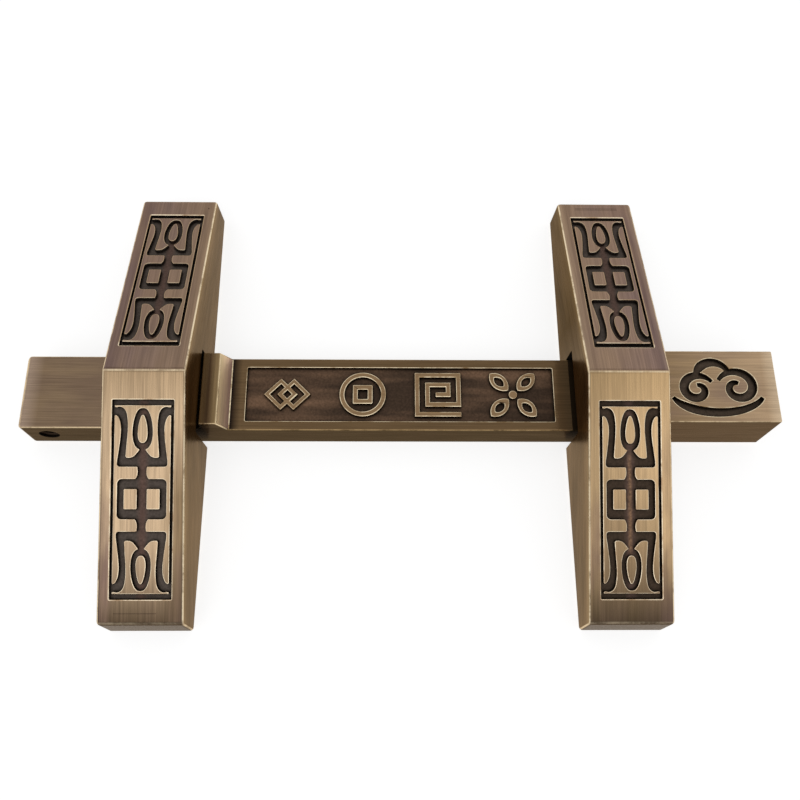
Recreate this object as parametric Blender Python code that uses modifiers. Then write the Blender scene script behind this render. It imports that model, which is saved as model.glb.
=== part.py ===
# Door bolt: two gable-shaped cast brackets and the bolt bar that slides through their notches.
# It lies on its flat backs. +X runs along the bar to its head, +Y up the brackets and +Z out of the door.
# The origin is on the door's face, midway between the brackets' ends and the bar's two ends.
import math

import bmesh
import bpy
from mathutils import Matrix, Vector

# Bracket, sizes at its back
BRACKET_LENGTH = 0.1206
BRACKET_WIDTH = 0.0217
BRACKET_END_HEIGHT = 0.0115
BRACKET_RIDGE_HEIGHT = 0.0297
BRACKET_SIDE_DRAFT_DEG = 1.0
BRACKET_END_DRAFT_DEG = 3.0
BRACKET_SPACING = 0.1203
BRACKET_ARRIS_RADIUS = 0.0006

# Bolt bar, heights from its own back
BAR_LENGTH = 0.2000
BAR_WIDTH = 0.0210
BAR_DRAFT_DEG = 1.76
TAIL_LENGTH = 0.0478
TAIL_HEIGHT = 0.0112
BLOCK_LENGTH = 0.0048
BLOCK_HEIGHT = 0.0143
BLOCK_SLOPE = 0.0025
WAIST_HEIGHT = 0.0097
HEAD_LENGTH = 0.0314
HEAD_HEIGHT = 0.0169
BAR_ARRIS_RADIUS = 0.0004
TAIL_NOSE_RADIUS = 0.0010

# Fits between the bar, the notches and the door
DOOR_CLEARANCE = 0.0003
NOTCH_FRONT_CLEARANCE = 0.0006
NOTCH_SIDE_PLAY = 0.0012
HEAD_STOP_GAP = 0.0003
BAR_SIDE_SHIFT = 0.0007
NOTCH_CORNER_RADIUS = 0.0010

# Sunk panels on the bracket slopes and their raised ornament
PANEL_RIDGE_MARGIN = 0.0076
PANEL_LENGTH = 0.0487
PANEL_WIDTH = 0.0151
PANEL_DEPTH = 0.0009
PANEL_END_GROOVE = 0.0011
PANEL_SIDE_GROOVE = 0.0005

# Sunk panel on the bar's waist and its four raised motifs
WAIST_PANEL_LENGTH = 0.0829
WAIST_PANEL_WIDTH = 0.0153
WAIST_PANEL_START = 0.0042
WAIST_PANEL_DEPTH = 0.0009
MOTIF_SIZE = 0.0126
MOTIF_STROKE = 0.0014
MOTIF_END_MARGIN = 0.0047
LOZENGE_SHIFT = 0.00175
LOZENGE_STROKE = 0.0012
COIN_HOLE = 0.0026
ROSETTE_EYE_DIAMETER = 0.0024
PETAL_START = 0.0017
PETAL_LENGTH = 0.0070
PETAL_WIDTH = 0.0042
PETAL_RIM = 0.0011

# Engraved cloud on the head
CLOUD_LENGTH = 0.0245
CLOUD_STROKE = 0.0024
CLOUD_STROKE_START = 0.0009
CLOUD_STROKE_END = 0.0010
CLOUD_DEPTH = 0.0011
CLOUD_END_MARGIN = 0.0038

# Tapped holes, drawn at their core diameter
SCREW_HOLE_DIAMETER = 0.0050
SCREW_HOLE_DEPTH = 0.0100
SCREW_HOLE_SPACING = 0.0640
TAIL_HOLE_DIAMETER = 0.0053
TAIL_HOLE_INSET = 0.0067
TAIL_HOLE_HEIGHT = 0.0059
TAIL_HOLE_DEPTH = 0.0130

ARC_STEP = math.radians(20)
CUTTER_OVERRUN = 0.0030
WELD = 0.000002
SLIVER = 0.0000001


def tangent(degrees):
    return math.tan(math.radians(degrees))


# Places along the bar, and of the brackets it passes through
TAIL_END_X = -BAR_LENGTH / 2
HEAD_END_X = BAR_LENGTH / 2
HEAD_START_X = HEAD_END_X - HEAD_LENGTH
RIGHT_BRACKET_X = HEAD_START_X - HEAD_STOP_GAP - BRACKET_WIDTH / 2
LEFT_BRACKET_X = RIGHT_BRACKET_X - BRACKET_SPACING
BLOCK_START_X = TAIL_END_X + TAIL_LENGTH
BLOCK_END_X = BLOCK_START_X + BLOCK_LENGTH
WAIST_START_X = BLOCK_END_X + BLOCK_SLOPE
NOTCH_WIDTH = BAR_WIDTH + 2 * NOTCH_SIDE_PLAY
NOTCH_HEIGHT = DOOR_CLEARANCE + BLOCK_HEIGHT + NOTCH_FRONT_CLEARANCE


def clear_scene():
    for item in list(bpy.data.objects):
        bpy.data.objects.remove(item)


def new_collection(name):
    made = bpy.data.collections.new(name)
    bpy.context.scene.collection.children.link(made)
    return made


def brass(name, colour, roughness):
    made = bpy.data.materials.new(name)
    made.use_nodes = True
    shader = made.node_tree.nodes["Principled BSDF"]
    shader.inputs["Base Color"].default_value = (*colour, 1.0)
    shader.inputs["Metallic"].default_value = 1.0
    shader.inputs["Roughness"].default_value = roughness
    return made


def rounded(corners):
    """Closed outline through corners given as x, y and radius, with an arc at each corner that has a radius."""
    outline = []
    count = len(corners)
    for i, (x, y, radius) in enumerate(corners):
        here = Vector((x, y))
        back = Vector(corners[i - 1][:2]) - here
        ahead = Vector(corners[(i + 1) % count][:2]) - here
        turn = math.pi - back.angle(ahead)
        if radius <= 0 or turn < 0.02:
            outline.append((x, y))
            continue
        reach = min(radius * math.tan(turn / 2), 0.45 * back.length, 0.45 * ahead.length)
        start = here + back.normalized() * reach
        end = here + ahead.normalized() * reach
        steps = max(1, round(turn / ARC_STEP))
        arc_radius = reach / math.tan(turn / 2)
        middle = here + (back.normalized() + ahead.normalized()).normalized() * math.hypot(arc_radius, reach)
        sweep = (start - middle).angle_signed(end - middle)
        for k in range(steps + 1):
            spoke = (start - middle).copy()
            spoke.rotate(Matrix.Rotation(-sweep * k / steps, 2))
            outline.append(tuple(middle + spoke))
    return outline


def circle(radius):
    count = 24
    turns = [2 * math.pi * k / count for k in range(count)]
    return [(radius * math.cos(turn), radius * math.sin(turn)) for turn in turns]


def moved(outline, distance):
    return [(x + distance, y) for x, y in outline]


def mesh_object(name, mesh, group):
    made = bpy.data.objects.new(name, mesh)
    group.objects.link(made)
    return made


def longest_edge(face):
    return max(face.edges, key=lambda edge: edge.calc_length())


def height_of(face):
    return 2 * face.calc_area() / longest_edge(face).calc_length()


def turn_slivers(bm):
    """Turns the long edge of each triangle without height, which a cap has where three corners are in line."""
    flat = [face for face in bm.faces if height_of(face) < SLIVER]
    while flat:
        bmesh.utils.edge_rotate(longest_edge(flat[0]), True)
        flat = [face for face in bm.faces if height_of(face) < SLIVER]


def flat_solid(name, outlines, low, high, group):
    """Solid between two heights from flat outlines; an outline inside another is a hole in it."""
    curve = bpy.data.curves.new(name + "_outline", "CURVE")
    curve.dimensions = "2D"
    curve.fill_mode = "BOTH"
    curve.extrude = (high - low) / 2
    for outline in outlines:
        spline = curve.splines.new("POLY")
        spline.points.add(len(outline) - 1)
        for point, (x, y) in zip(spline.points, outline):
            point.co = (x, y, 0.0, 1.0)
        spline.use_cyclic_u = True
    drawn = mesh_object(name + "_outline", curve, group)
    bpy.context.view_layer.update()
    seen = drawn.evaluated_get(bpy.context.evaluated_depsgraph_get())
    mesh = bpy.data.meshes.new_from_object(seen)
    bpy.data.objects.remove(drawn)
    bm = bmesh.new()
    bm.from_mesh(mesh)
    bmesh.ops.remove_doubles(bm, verts=bm.verts, dist=WELD)
    turn_slivers(bm)
    bmesh.ops.translate(bm, verts=bm.verts, vec=(0, 0, (low + high) / 2))
    bmesh.ops.recalc_face_normals(bm, faces=bm.faces)
    bm.to_mesh(mesh)
    bm.free()
    mesh.name = name
    mesh.materials.clear()
    mesh.shade_flat()
    return mesh_object(name, mesh, group)


def as_cutter(solid):
    solid.hide_render = True
    solid.display_type = "WIRE"
    return solid


def boolean(target, tool, operation):
    step = target.modifiers.new(operation.lower() + "_" + tool.name, "BOOLEAN")
    step.operation = operation
    step.solver = "EXACT"
    step.object = tool
    return step


def give_draft(solid, draft_deg, side):
    """Narrows a solid toward its front, as a mould's draft does; side is 0 for X and 1 for Y."""
    lean = tangent(draft_deg)
    for vertex in solid.data.vertices:
        if abs(vertex.co[side]) > WELD:
            vertex.co[side] -= math.copysign(lean * vertex.co.z, vertex.co[side])


def soften_edges(solid, width, wide_edges=None, wide_width=0.0):
    """Rounds the outer arrises; the edges that wide_edges picks get the wider radius."""
    largest = max(width, wide_width)
    bm = bmesh.new()
    bm.from_mesh(solid.data)
    bmesh.ops.dissolve_limit(bm, angle_limit=0.01, verts=bm.verts, edges=bm.edges)
    weight = bm.edges.layers.float.new("bevel_weight_edge")
    for edge in bm.edges:
        if edge.calc_face_angle_signed(0.0) > math.radians(12):
            wide = wide_edges is not None and wide_edges(edge)
            edge[weight] = (wide_width if wide else width) / largest
    bm.to_mesh(solid.data)
    bm.free()
    step = solid.modifiers.new("arrises", "BEVEL")
    step.limit_method = "WEIGHT"
    step.width = largest
    step.segments = 2
    step.use_clamp_overlap = True


# The ornament's outlines are drawn on a field of this nominal half size, in millimetres
FIELD_HALF = (7.05, 23.0)


def to_field(outline):
    """Fits an outline from the ornament's drawing grid to the sunk panel's raised field."""
    across = (PANEL_WIDTH / 2 - PANEL_SIDE_GROOVE) / FIELD_HALF[0]
    along = (PANEL_LENGTH / 2 - PANEL_END_GROOVE) / FIELD_HALF[1]
    return [(x * across, y * along) for x, y in outline]


def egg(half_width, half_length, centre, start, count):
    """Egg that is fuller towards the panel's middle, from the turn start round to the same turn short of closing."""
    sweep = 2 * math.pi - 2 * start
    outline = []
    for k in range(count + 1):
        turn = start + sweep * k / count
        x = half_width * math.sin(turn) * (1 + 0.14 * math.cos(turn))
        outline.append((x, centre - half_length * math.cos(turn)))
    return outline


def end_island():
    """Island at the panel's end: it surrounds the loop and reaches down to the neck on both sides."""
    side = rounded([
        (7.05, 23.0, 0), (7.05, 22.45, 0), (5.3, 22.35, 1.6), (4.0, 21.4, 2.4), (3.5, 18.3, 7.0),
        (4.25, 13.0, 9.0), (4.4, 9.95, 0), (2.9, 9.95, 2.2), (1.4, 10.9, 2.5), (0.52, 12.15, 0),
        (0.52, 13.0, 0), (0.3, 23.0, 0),
    ])[:-2]
    loop = egg(2.45, 5.15, 17.05, 0.32, 22)
    return side + loop + [(-x, y) for x, y in reversed(side)]


def teardrop():
    return egg(1.4, 3.7, 17.0, 0.0, 18)[:-1]


def side_island():
    """Island down one side of the panel, with two bands that reach in to the spine."""
    half = rounded([
        (7.05, 0.0, 0), (7.05, 21.5, 0), (5.75, 20.4, 2.0), (4.9, 17.2, 5.0), (5.35, 13.8, 6.0),
        (6.15, 10.6, 5.0), (6.15, 7.7, 1.0), (1.1, 7.7, 0), (1.2, 6.2, 2.0), (1.65, 4.85, 0),
        (6.05, 4.85, 1.3), (6.05, 0.0, 0),
    ])
    upper = half[1:-1]
    return upper + [(x, -y) for x, y in reversed(upper)]


def window():
    return rounded([(1.2, -2.5, 0.3), (4.35, -2.5, 0.3), (4.35, 2.5, 0.3), (1.2, 2.5, 0.3)])


def ornament_outlines():
    outlines = []
    for turn in (1, -1):
        outlines.append([(x * turn, y) for x, y in side_island()])
        outlines.append([(x * turn, y) for x, y in window()])
        outlines.append([(x, y * turn) for x, y in end_island()])
        outlines.append([(x, y * turn) for x, y in teardrop()])
    return [to_field(outline) for outline in outlines]


def rectangle(length_x, length_y, radius=0.0):
    x = length_x / 2
    y = length_y / 2
    return rounded([(-x, -y, radius), (x, -y, radius), (x, y, radius), (-x, y, radius)])


def slope_frame(upward):
    """Matrix of a slope's own frame: X across, Y away from the ridge, Z out of the slope."""
    front_half = BRACKET_LENGTH / 2 - tangent(BRACKET_END_DRAFT_DEG) * BRACKET_END_HEIGHT
    fall = math.atan2(BRACKET_RIDGE_HEIGHT - BRACKET_END_HEIGHT, front_half)
    place = Matrix.Translation((0, 0, BRACKET_RIDGE_HEIGHT))
    turn = Matrix.Identity(4) if upward else Matrix.Rotation(math.pi, 4, "Z")
    return turn @ place @ Matrix.Rotation(-fall, 4, "X")


def panel_cutter(name, upward, group):
    outer = rectangle(PANEL_WIDTH, PANEL_LENGTH, 0.0004)
    cutter = flat_solid(name, [outer] + ornament_outlines(), -PANEL_DEPTH, CUTTER_OVERRUN, group)
    centre = PANEL_RIDGE_MARGIN + PANEL_LENGTH / 2
    cutter.matrix_world = slope_frame(upward) @ Matrix.Translation((0, centre, 0))
    return as_cutter(cutter)


def notch_cutter(name, group):
    depth = BRACKET_WIDTH + 2 * CUTTER_OVERRUN
    top = NOTCH_HEIGHT
    radius = NOTCH_CORNER_RADIUS
    half = NOTCH_WIDTH / 2
    low = -CUTTER_OVERRUN
    outline = rounded([(-half, low, 0), (half, low, 0), (half, top, radius), (-half, top, radius)])
    cutter = flat_solid(name, [outline], -depth / 2, depth / 2, group)
    cutter.matrix_world = Matrix(((0, 0, 1, 0), (1, 0, 0, 0), (0, 1, 0, 0), (0, 0, 0, 1)))
    return as_cutter(cutter)


def hole_cutter(name, diameter, depth, mouth, direction, group):
    """Cutter for a blind hole that runs from its mouth along a direction."""
    bm = bmesh.new()
    length = depth + CUTTER_OVERRUN
    bmesh.ops.create_cone(bm, cap_ends=True, segments=20, radius1=diameter / 2, radius2=diameter / 2, depth=length)
    bmesh.ops.translate(bm, verts=bm.verts, vec=(0, 0, length / 2 - CUTTER_OVERRUN))
    mesh = bpy.data.meshes.new(name)
    bm.to_mesh(mesh)
    bm.free()
    cutter = mesh_object(name, mesh, group)
    turn = Vector(direction).to_track_quat("Z", "Y").to_matrix().to_4x4()
    cutter.matrix_world = Matrix.Translation(mouth) @ turn
    return as_cutter(cutter)


def bracket_body(name, group):
    """Gable-shaped casting: the side profile drawn in Y and Z, extruded across the bracket."""
    half = BRACKET_LENGTH / 2
    front_half = half - tangent(BRACKET_END_DRAFT_DEG) * BRACKET_END_HEIGHT
    profile = [
        (-half, 0), (half, 0), (front_half, BRACKET_END_HEIGHT),
        (0, BRACKET_RIDGE_HEIGHT), (-front_half, BRACKET_END_HEIGHT),
    ]
    body = flat_solid(name, [profile], -BRACKET_WIDTH / 2, BRACKET_WIDTH / 2, group)
    body.data.transform(Matrix(((0, 0, 1, 0), (1, 0, 0, 0), (0, 1, 0, 0), (0, 0, 0, 1))))
    give_draft(body, BRACKET_SIDE_DRAFT_DEG, 0)
    soften_edges(body, BRACKET_ARRIS_RADIUS)
    return body


def bracket(name, x, group, cutters, finish):
    body = bracket_body(name, group)
    tools = [
        notch_cutter(name + "_notch", cutters),
        panel_cutter(name + "_upper_panel", True, cutters),
        panel_cutter(name + "_lower_panel", False, cutters),
    ]
    for side in (-1, 1):
        mouth = (0, side * SCREW_HOLE_SPACING / 2, 0)
        hole_name = name + ("_upper_hole" if side > 0 else "_lower_hole")
        tools.append(hole_cutter(hole_name, SCREW_HOLE_DIAMETER, SCREW_HOLE_DEPTH, mouth, (0, 0, 1), cutters))
    place = Matrix.Translation((x, 0, 0))
    for tool in tools:
        tool.matrix_world = place @ tool.matrix_world
        boolean(body, tool, "DIFFERENCE")
    body.matrix_world = place
    body.data.materials.append(finish)
    return body


def ribbon(line, width):
    """Outline of a band of one width along a line of points, with square ends and mitred corners."""
    points = [Vector(point) for point in line]
    legs = [(b - a).normalized() for a, b in zip(points, points[1:])]
    left, right = [], []
    for i, point in enumerate(points):
        before = legs[max(i - 1, 0)]
        after = legs[min(i, len(legs) - 1)]
        across = Vector((-before.y - after.y, before.x + after.x)).normalized()
        reach = width / 2 / across.dot(Vector((-after.y, after.x)))
        extend = (0.0 if 0 < i < len(points) - 1 else width / 2) * (-1 if i == 0 else 1)
        left.append(tuple(point + across * reach + after * extend))
        right.append(tuple(point - across * reach + after * extend))
    return left + right[::-1]


def lozenge_pair():
    """Two linked lozenges: their shared outer outline, the middle opening and the two side openings."""
    half = MOTIF_SIZE / 2 - LOZENGE_SHIFT
    inner = half - LOZENGE_STROKE * math.sqrt(2)
    middle = inner - LOZENGE_SHIFT
    tip = half - LOZENGE_SHIFT
    meet_x = (half - inner) / 2
    meet_y = (half + inner) / 2 - LOZENGE_SHIFT
    outlines = [
        [(-half - LOZENGE_SHIFT, 0), (-LOZENGE_SHIFT, half), (0, tip), (LOZENGE_SHIFT, half),
         (half + LOZENGE_SHIFT, 0), (LOZENGE_SHIFT, -half), (0, -tip), (-LOZENGE_SHIFT, -half)],
        [(-middle, 0), (0, middle), (middle, 0), (0, -middle)],
    ]
    for side in (1, -1):
        outlines.append([
            (side * (LOZENGE_SHIFT + inner), 0), (side * LOZENGE_SHIFT, inner), (side * meet_x, meet_y),
            (side * tip, 0), (side * meet_x, -meet_y), (side * LOZENGE_SHIFT, -inner),
        ])
    return outlines


def coin():
    """Round coin with a square hole."""
    outer = MOTIF_SIZE / 2
    square = COIN_HOLE + 2 * MOTIF_STROKE
    return [
        circle(outer), circle(outer - MOTIF_STROKE),
        rectangle(square, square), rectangle(COIN_HOLE, COIN_HOLE),
    ]


def fret():
    """Square spiral fret."""
    out = (MOTIF_SIZE - MOTIF_STROKE) / 2
    step = out / 2
    line = [(out, -out), (-out, -out), (-out, out), (out, out), (out, step - out), (step - out, step - out),
            (step - out, out - step), (out - step, out - step), (out - step, 0), (0, 0)]
    return [ribbon(line, MOTIF_STROKE)]


def petal(turn, start, length, width):
    """Pointed petal that starts off the centre along a direction: two arcs that meet at its tips."""
    steps = 7
    half_turn = 2 * math.atan(width / length)
    radius = length / 2 / math.sin(half_turn)
    outline = []
    for side in (1, -1):
        for k in range(steps):
            at = half_turn * (1 - 2 * k / steps)
            along = -radius * math.sin(at)
            off = radius * (math.cos(at) - math.cos(half_turn))
            outline.append(Vector((side * along + start + length / 2, side * off)))
    turned = Matrix.Rotation(turn, 2)
    return [tuple(turned @ point) for point in outline]


def rosette():
    """Four hollow petals round a small eye, along the diagonals."""
    outlines = [circle(ROSETTE_EYE_DIAMETER / 2)]
    rim = PETAL_RIM * PETAL_LENGTH / PETAL_WIDTH
    for k in range(4):
        turn = math.pi / 4 + k * math.pi / 2
        outlines.append(petal(turn, PETAL_START, PETAL_LENGTH, PETAL_WIDTH))
        outlines.append(petal(turn, PETAL_START + rim, PETAL_LENGTH - 2 * rim, PETAL_WIDTH - 2 * PETAL_RIM))
    return outlines


def waist_panel_cutter(group):
    """Sunk panel of the waist with the four motifs left standing in it."""
    outlines = [rectangle(WAIST_PANEL_LENGTH, WAIST_PANEL_WIDTH)]
    motifs = (lozenge_pair, coin, fret, rosette)
    first = MOTIF_END_MARGIN + MOTIF_SIZE / 2 - WAIST_PANEL_LENGTH / 2
    for k, motif in enumerate(motifs):
        place = first * (1 - 2 * k / (len(motifs) - 1))
        outlines += [moved(outline, place) for outline in motif()]
    cutter = flat_solid("waist_panel", outlines, -WAIST_PANEL_DEPTH, CUTTER_OVERRUN, group)
    centre = WAIST_START_X + WAIST_PANEL_START + WAIST_PANEL_LENGTH / 2
    cutter.matrix_world = Matrix.Translation((centre, 0, WAIST_HEIGHT))
    return as_cutter(cutter)


def brush_stroke(line, start_width, full_width, end_width):
    """Outline of a stroke along a line of points, swelling from its start and thinning to its end."""
    left, right = [], []
    last = len(line) - 1
    for i, point in enumerate(line):
        ahead = (Vector(line[min(i + 1, last)]) - Vector(line[max(i - 1, 0)])).normalized()
        share = i / last
        if share < 0.3:
            width = start_width + (full_width - start_width) * math.sin(share / 0.3 * math.pi / 2)
        else:
            width = full_width + (end_width - full_width) * ((share - 0.3) / 0.7) ** 2
        off = Vector((-ahead.y, ahead.x)) * width / 2
        left.append(tuple(Vector(point) + off))
        right.append(tuple(Vector(point) - off))
    return left + right[::-1]


def spiral(centre, outer, inner, start_deg, sweep_deg, count, squash=1.0):
    line = []
    for k in range(count + 1):
        share = k / count
        turn = math.radians(start_deg + sweep_deg * share)
        radius = outer + (inner - outer) * share
        line.append((centre[0] + radius * math.cos(turn), centre[1] + squash * radius * math.sin(turn)))
    return line


# The cloud's strokes are drawn on a grid of this nominal length, in millimetres
CLOUD_GRID_LENGTH = 24.5


def cloud_strokes():
    """Cloud with two curls under an arched crown, over a long wisp, on a drawing grid of millimetres."""
    right_curl = spiral((5.6, -0.4), 5.4, 1.3, 155, -435, 24, 0.92)
    left_curl = spiral((-5.2, -0.9), 4.6, 1.2, 30, 415, 22, 0.92)
    crown = spiral((-0.4, 2.0), 4.9, 4.5, 172, -150, 10)
    wisp = spiral((0.0, -1.4), 12.4, 12.4, 198, 144, 14, 0.48)
    return [right_curl, left_curl, crown, wisp]


def cloud_cutters(group):
    """One cutter for each stroke of the cloud, all to the same depth below the head's face."""
    scale = CLOUD_LENGTH / CLOUD_GRID_LENGTH
    centre = HEAD_END_X - CLOUD_END_MARGIN - CLOUD_LENGTH / 2
    cutters = []
    for k, line in enumerate(cloud_strokes()):
        drawn = [(x * scale, y * scale) for x, y in line]
        outline = brush_stroke(drawn, CLOUD_STROKE_START, CLOUD_STROKE, CLOUD_STROKE_END)
        cutter = flat_solid(f"cloud_{k}", [outline], -CLOUD_DEPTH, CUTTER_OVERRUN, group)
        cutter.matrix_world = Matrix.Translation((centre, 0, HEAD_HEIGHT))
        cutters.append(as_cutter(cutter))
    return cutters


def bar_body(group):
    """The bar's stepped side profile, extruded across it and narrowed towards the front."""
    profile = [
        (TAIL_END_X, 0), (HEAD_END_X, 0), (HEAD_END_X, HEAD_HEIGHT), (HEAD_START_X, HEAD_HEIGHT),
        (HEAD_START_X, WAIST_HEIGHT), (WAIST_START_X, WAIST_HEIGHT), (BLOCK_END_X, BLOCK_HEIGHT),
        (BLOCK_START_X, BLOCK_HEIGHT), (BLOCK_START_X, TAIL_HEIGHT), (TAIL_END_X, TAIL_HEIGHT),
    ]
    body = flat_solid("bolt_bar", [profile], -BAR_WIDTH / 2, BAR_WIDTH / 2, group)
    body.data.transform(Matrix.Rotation(math.pi / 2, 4, "X"))
    give_draft(body, BAR_DRAFT_DEG, 1)
    nose = TAIL_END_X + WELD
    soften_edges(body, BAR_ARRIS_RADIUS, lambda edge: all(v.co.x < nose for v in edge.verts), TAIL_NOSE_RADIUS)
    return body


def bolt_bar(group, cutters, finish):
    body = bar_body(group)
    mouth = (TAIL_END_X + TAIL_HOLE_INSET, -BAR_WIDTH / 2, TAIL_HOLE_HEIGHT)
    tools = [waist_panel_cutter(cutters)] + cloud_cutters(cutters)
    tools.append(hole_cutter("tail_hole", TAIL_HOLE_DIAMETER, TAIL_HOLE_DEPTH, mouth, (0, 1, 0), cutters))
    place = Matrix.Translation((0, BAR_SIDE_SHIFT, DOOR_CLEARANCE))
    for tool in tools:
        tool.matrix_world = place @ tool.matrix_world
        boolean(body, tool, "DIFFERENCE")
    body.matrix_world = place
    body.data.materials.append(finish)
    return body


def build():
    clear_scene()
    parts = new_collection("door_bolt")
    cutters = new_collection("door_bolt_cutters")
    bracket_brass = brass("antique_brass_bracket", (0.33, 0.24, 0.155), 0.38)
    bar_brass = brass("antique_brass_bar", (0.25, 0.185, 0.115), 0.42)
    bracket("left_bracket", LEFT_BRACKET_X, parts, cutters, bracket_brass)
    bracket("right_bracket", RIGHT_BRACKET_X, parts, cutters, bracket_brass)
    bolt_bar(parts, cutters, bar_brass)


build()
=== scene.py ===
# %% [markdown]
# The door bolt. Two gable-shaped brass castings are screwed to a pair of doors, and a stepped bar slides
# through their notches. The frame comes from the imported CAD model. It gives the places and the moving
# bodies, and this lesson models the castings again with the fine shapes and the finish of the real ones.

# %% Load the frame
import math
from functools import partial

import bmesh
import bpy
from mathutils import Matrix, Vector


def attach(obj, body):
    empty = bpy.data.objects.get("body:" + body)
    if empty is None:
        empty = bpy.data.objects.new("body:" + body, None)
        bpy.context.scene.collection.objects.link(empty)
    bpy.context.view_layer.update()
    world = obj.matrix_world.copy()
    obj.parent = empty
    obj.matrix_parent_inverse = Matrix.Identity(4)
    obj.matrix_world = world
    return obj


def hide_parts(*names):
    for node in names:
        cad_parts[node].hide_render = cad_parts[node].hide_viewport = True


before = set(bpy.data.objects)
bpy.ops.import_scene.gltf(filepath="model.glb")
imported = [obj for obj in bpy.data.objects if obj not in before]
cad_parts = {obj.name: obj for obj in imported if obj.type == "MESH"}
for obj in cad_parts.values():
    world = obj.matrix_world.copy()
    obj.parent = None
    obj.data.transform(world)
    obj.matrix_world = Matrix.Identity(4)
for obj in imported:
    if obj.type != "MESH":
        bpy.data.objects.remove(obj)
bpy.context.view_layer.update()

# %% [markdown]
# The camera stands in front of the bolt and above it and looks down at it, as for a catalogue picture.
# Its place and lens were worked out from the corners of the castings, so every edge falls where it should.

# %% Camera
camera_data = bpy.data.cameras.new("catalogue_camera")
camera_data.sensor_width = 36.0
camera_data.lens = 38.13
camera_data.clip_start = 0.01
camera = bpy.data.objects.new("catalogue_camera", camera_data)
bpy.context.scene.collection.objects.link(camera)
camera.location = (-0.00316, -0.07745, 0.22479)
camera.rotation_euler = [math.radians(turn) for turn in (19.61, -0.955, -0.172)]
bpy.context.scene.camera = camera
print("Camera looks down from", round(camera.location.z * 1000), "mm")

# %% [markdown]
# Colours are easiest to choose as the hex values that a paint program shows. Blender's shaders work with
# linear light, so one function turns each hex value into that. A second one adds any node. It takes the kind
# of node and what goes into its open sockets, in their order, and gives back what comes out. Kinds with
# settings that are used again have names, so that a material reads as a recipe. TONES lays a tone over a
# colour by its share, and SHADE darkens or lightens by a level. Map Range takes a value, where to start and
# stop, and what to give there: 0 and 1 if nothing else is said.

# %% Colours and nodes
TIMES = ("Math", {"operation": "MULTIPLY"})
PLUS = ("Math", {"operation": "ADD"})
LESS = ("Math", {"operation": "SUBTRACT"})
GREATER_OF = ("Math", {"operation": "MAXIMUM"})
SIZE_OF = ("Math", {"operation": "ABSOLUTE"})
SIGN_OF = ("Math", {"operation": "SIGN"})
WITHIN = ("Math", {"operation": "COMPARE"})
DISTANCE_TO = ("VectorMath", {"operation": "DISTANCE"})
LEVELS = ("Mix", {"data_type": "FLOAT"})
PLACES = ("Mix", {"data_type": "VECTOR"})
TONES = ("Mix", {"data_type": "RGBA"})
SHADE = ("Mix", {"data_type": "RGBA", "blend_type": "MULTIPLY"})
WALLS_NEARBY = ("AmbientOcclusion", {"samples": 8})


def linear(hex_colour):
    shares = [int(hex_colour[k:k + 2], 16) / 255 for k in (1, 3, 5)]
    return [s / 12.92 if s <= 0.04045 else ((s + 0.055) / 1.055) ** 2.4 for s in shares] + [1.0]


def add_node(tree, recipe, *values, **named):
    """Adds a node and gives back its first output. A value is a number, a hex colour or a node's output."""
    kind, settings = (recipe, {}) if isinstance(recipe, str) else recipe
    made = tree.nodes.new("ShaderNode" + kind)
    for name, value in settings.items():
        setattr(made, name, value)
    filling = list(zip([socket for socket in made.inputs if socket.enabled], values))
    for socket, value in filling + [(made.inputs[name], value) for name, value in named.items()]:
        if isinstance(value, bpy.types.NodeSocket):
            tree.links.new(value, socket)
        else:
            socket.default_value = linear(value) if isinstance(value, str) else value
    return next((socket for socket in made.outputs if socket.enabled), None)


def plug(shader, name, output):
    shader.id_data.links.new(output, shader.inputs[name])


def start_metal(name, tint):
    """Metal that tints its glancing reflection. Gives back its shader, node adder and places as well."""
    made = bpy.data.materials.new(name)
    made.use_nodes = True
    shader = made.node_tree.nodes["Principled BSDF"]
    shader.inputs["Metallic"].default_value = 1.0
    shader.inputs["Specular Tint"].default_value = linear(tint)
    node = partial(add_node, made.node_tree)
    place = node("TexCoord").node.outputs
    return made, shader, node, place


print("Tan of the relieved brass in linear light:", [round(v, 3) for v in linear("#b49b7d")])

# %% [markdown]
# The sizes of the brackets come before their finish, because the finish follows the shape: the belt ran along
# the slopes, and the stains lie round the panels. A bracket is a gable lying on its back, 120.6 mm long,
# 21.7 mm wide, 11.5 mm high at its ends and 29.7 mm at the ridge. Its sides and ends lean in a little, as a
# casting's do, so that it leaves its mould.

# %% Sizes of the brackets
BRACKET_LENGTH = 0.1206
BRACKET_WIDTH = 0.0217
END_HEIGHT = 0.0115
RIDGE_HEIGHT = 0.0297
SIDE_LEAN = math.tan(math.radians(1.0))
END_LEAN = math.tan(math.radians(3.0))
LEFT_BRACKET_X = -0.06285
RIGHT_BRACKET_X = 0.05745

front_half = BRACKET_LENGTH / 2 - END_LEAN * END_HEIGHT
fall = math.atan2(RIDGE_HEIGHT - END_HEIGHT, front_half)
between_brackets = (LEFT_BRACKET_X + RIGHT_BRACKET_X) / 2
half_spacing = (RIGHT_BRACKET_X - LEFT_BRACKET_X) / 2
print("Slope falls", round(math.degrees(fall), 2), "degrees")

# %% [markdown]
# Both castings are brass that was darkened in a chemical bath, brushed with a fine abrasive belt that took
# part of the dark layer off again, and lacquered. Long hair lines run one way, and the darkening stays in
# soft clouds. The hair lines are a noise pattern stretched along the belt's way. A real one is about
# 0.05 mm wide, too fine for a picture of the whole bolt, so here they are drawn about 0.2 mm wide.

# %% Patterns of the brushed surface
HAIR_WIDTH = 0.00018
HAIR_LENGTH = 0.008
CLOUD_WIDTH = 0.005


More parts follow.
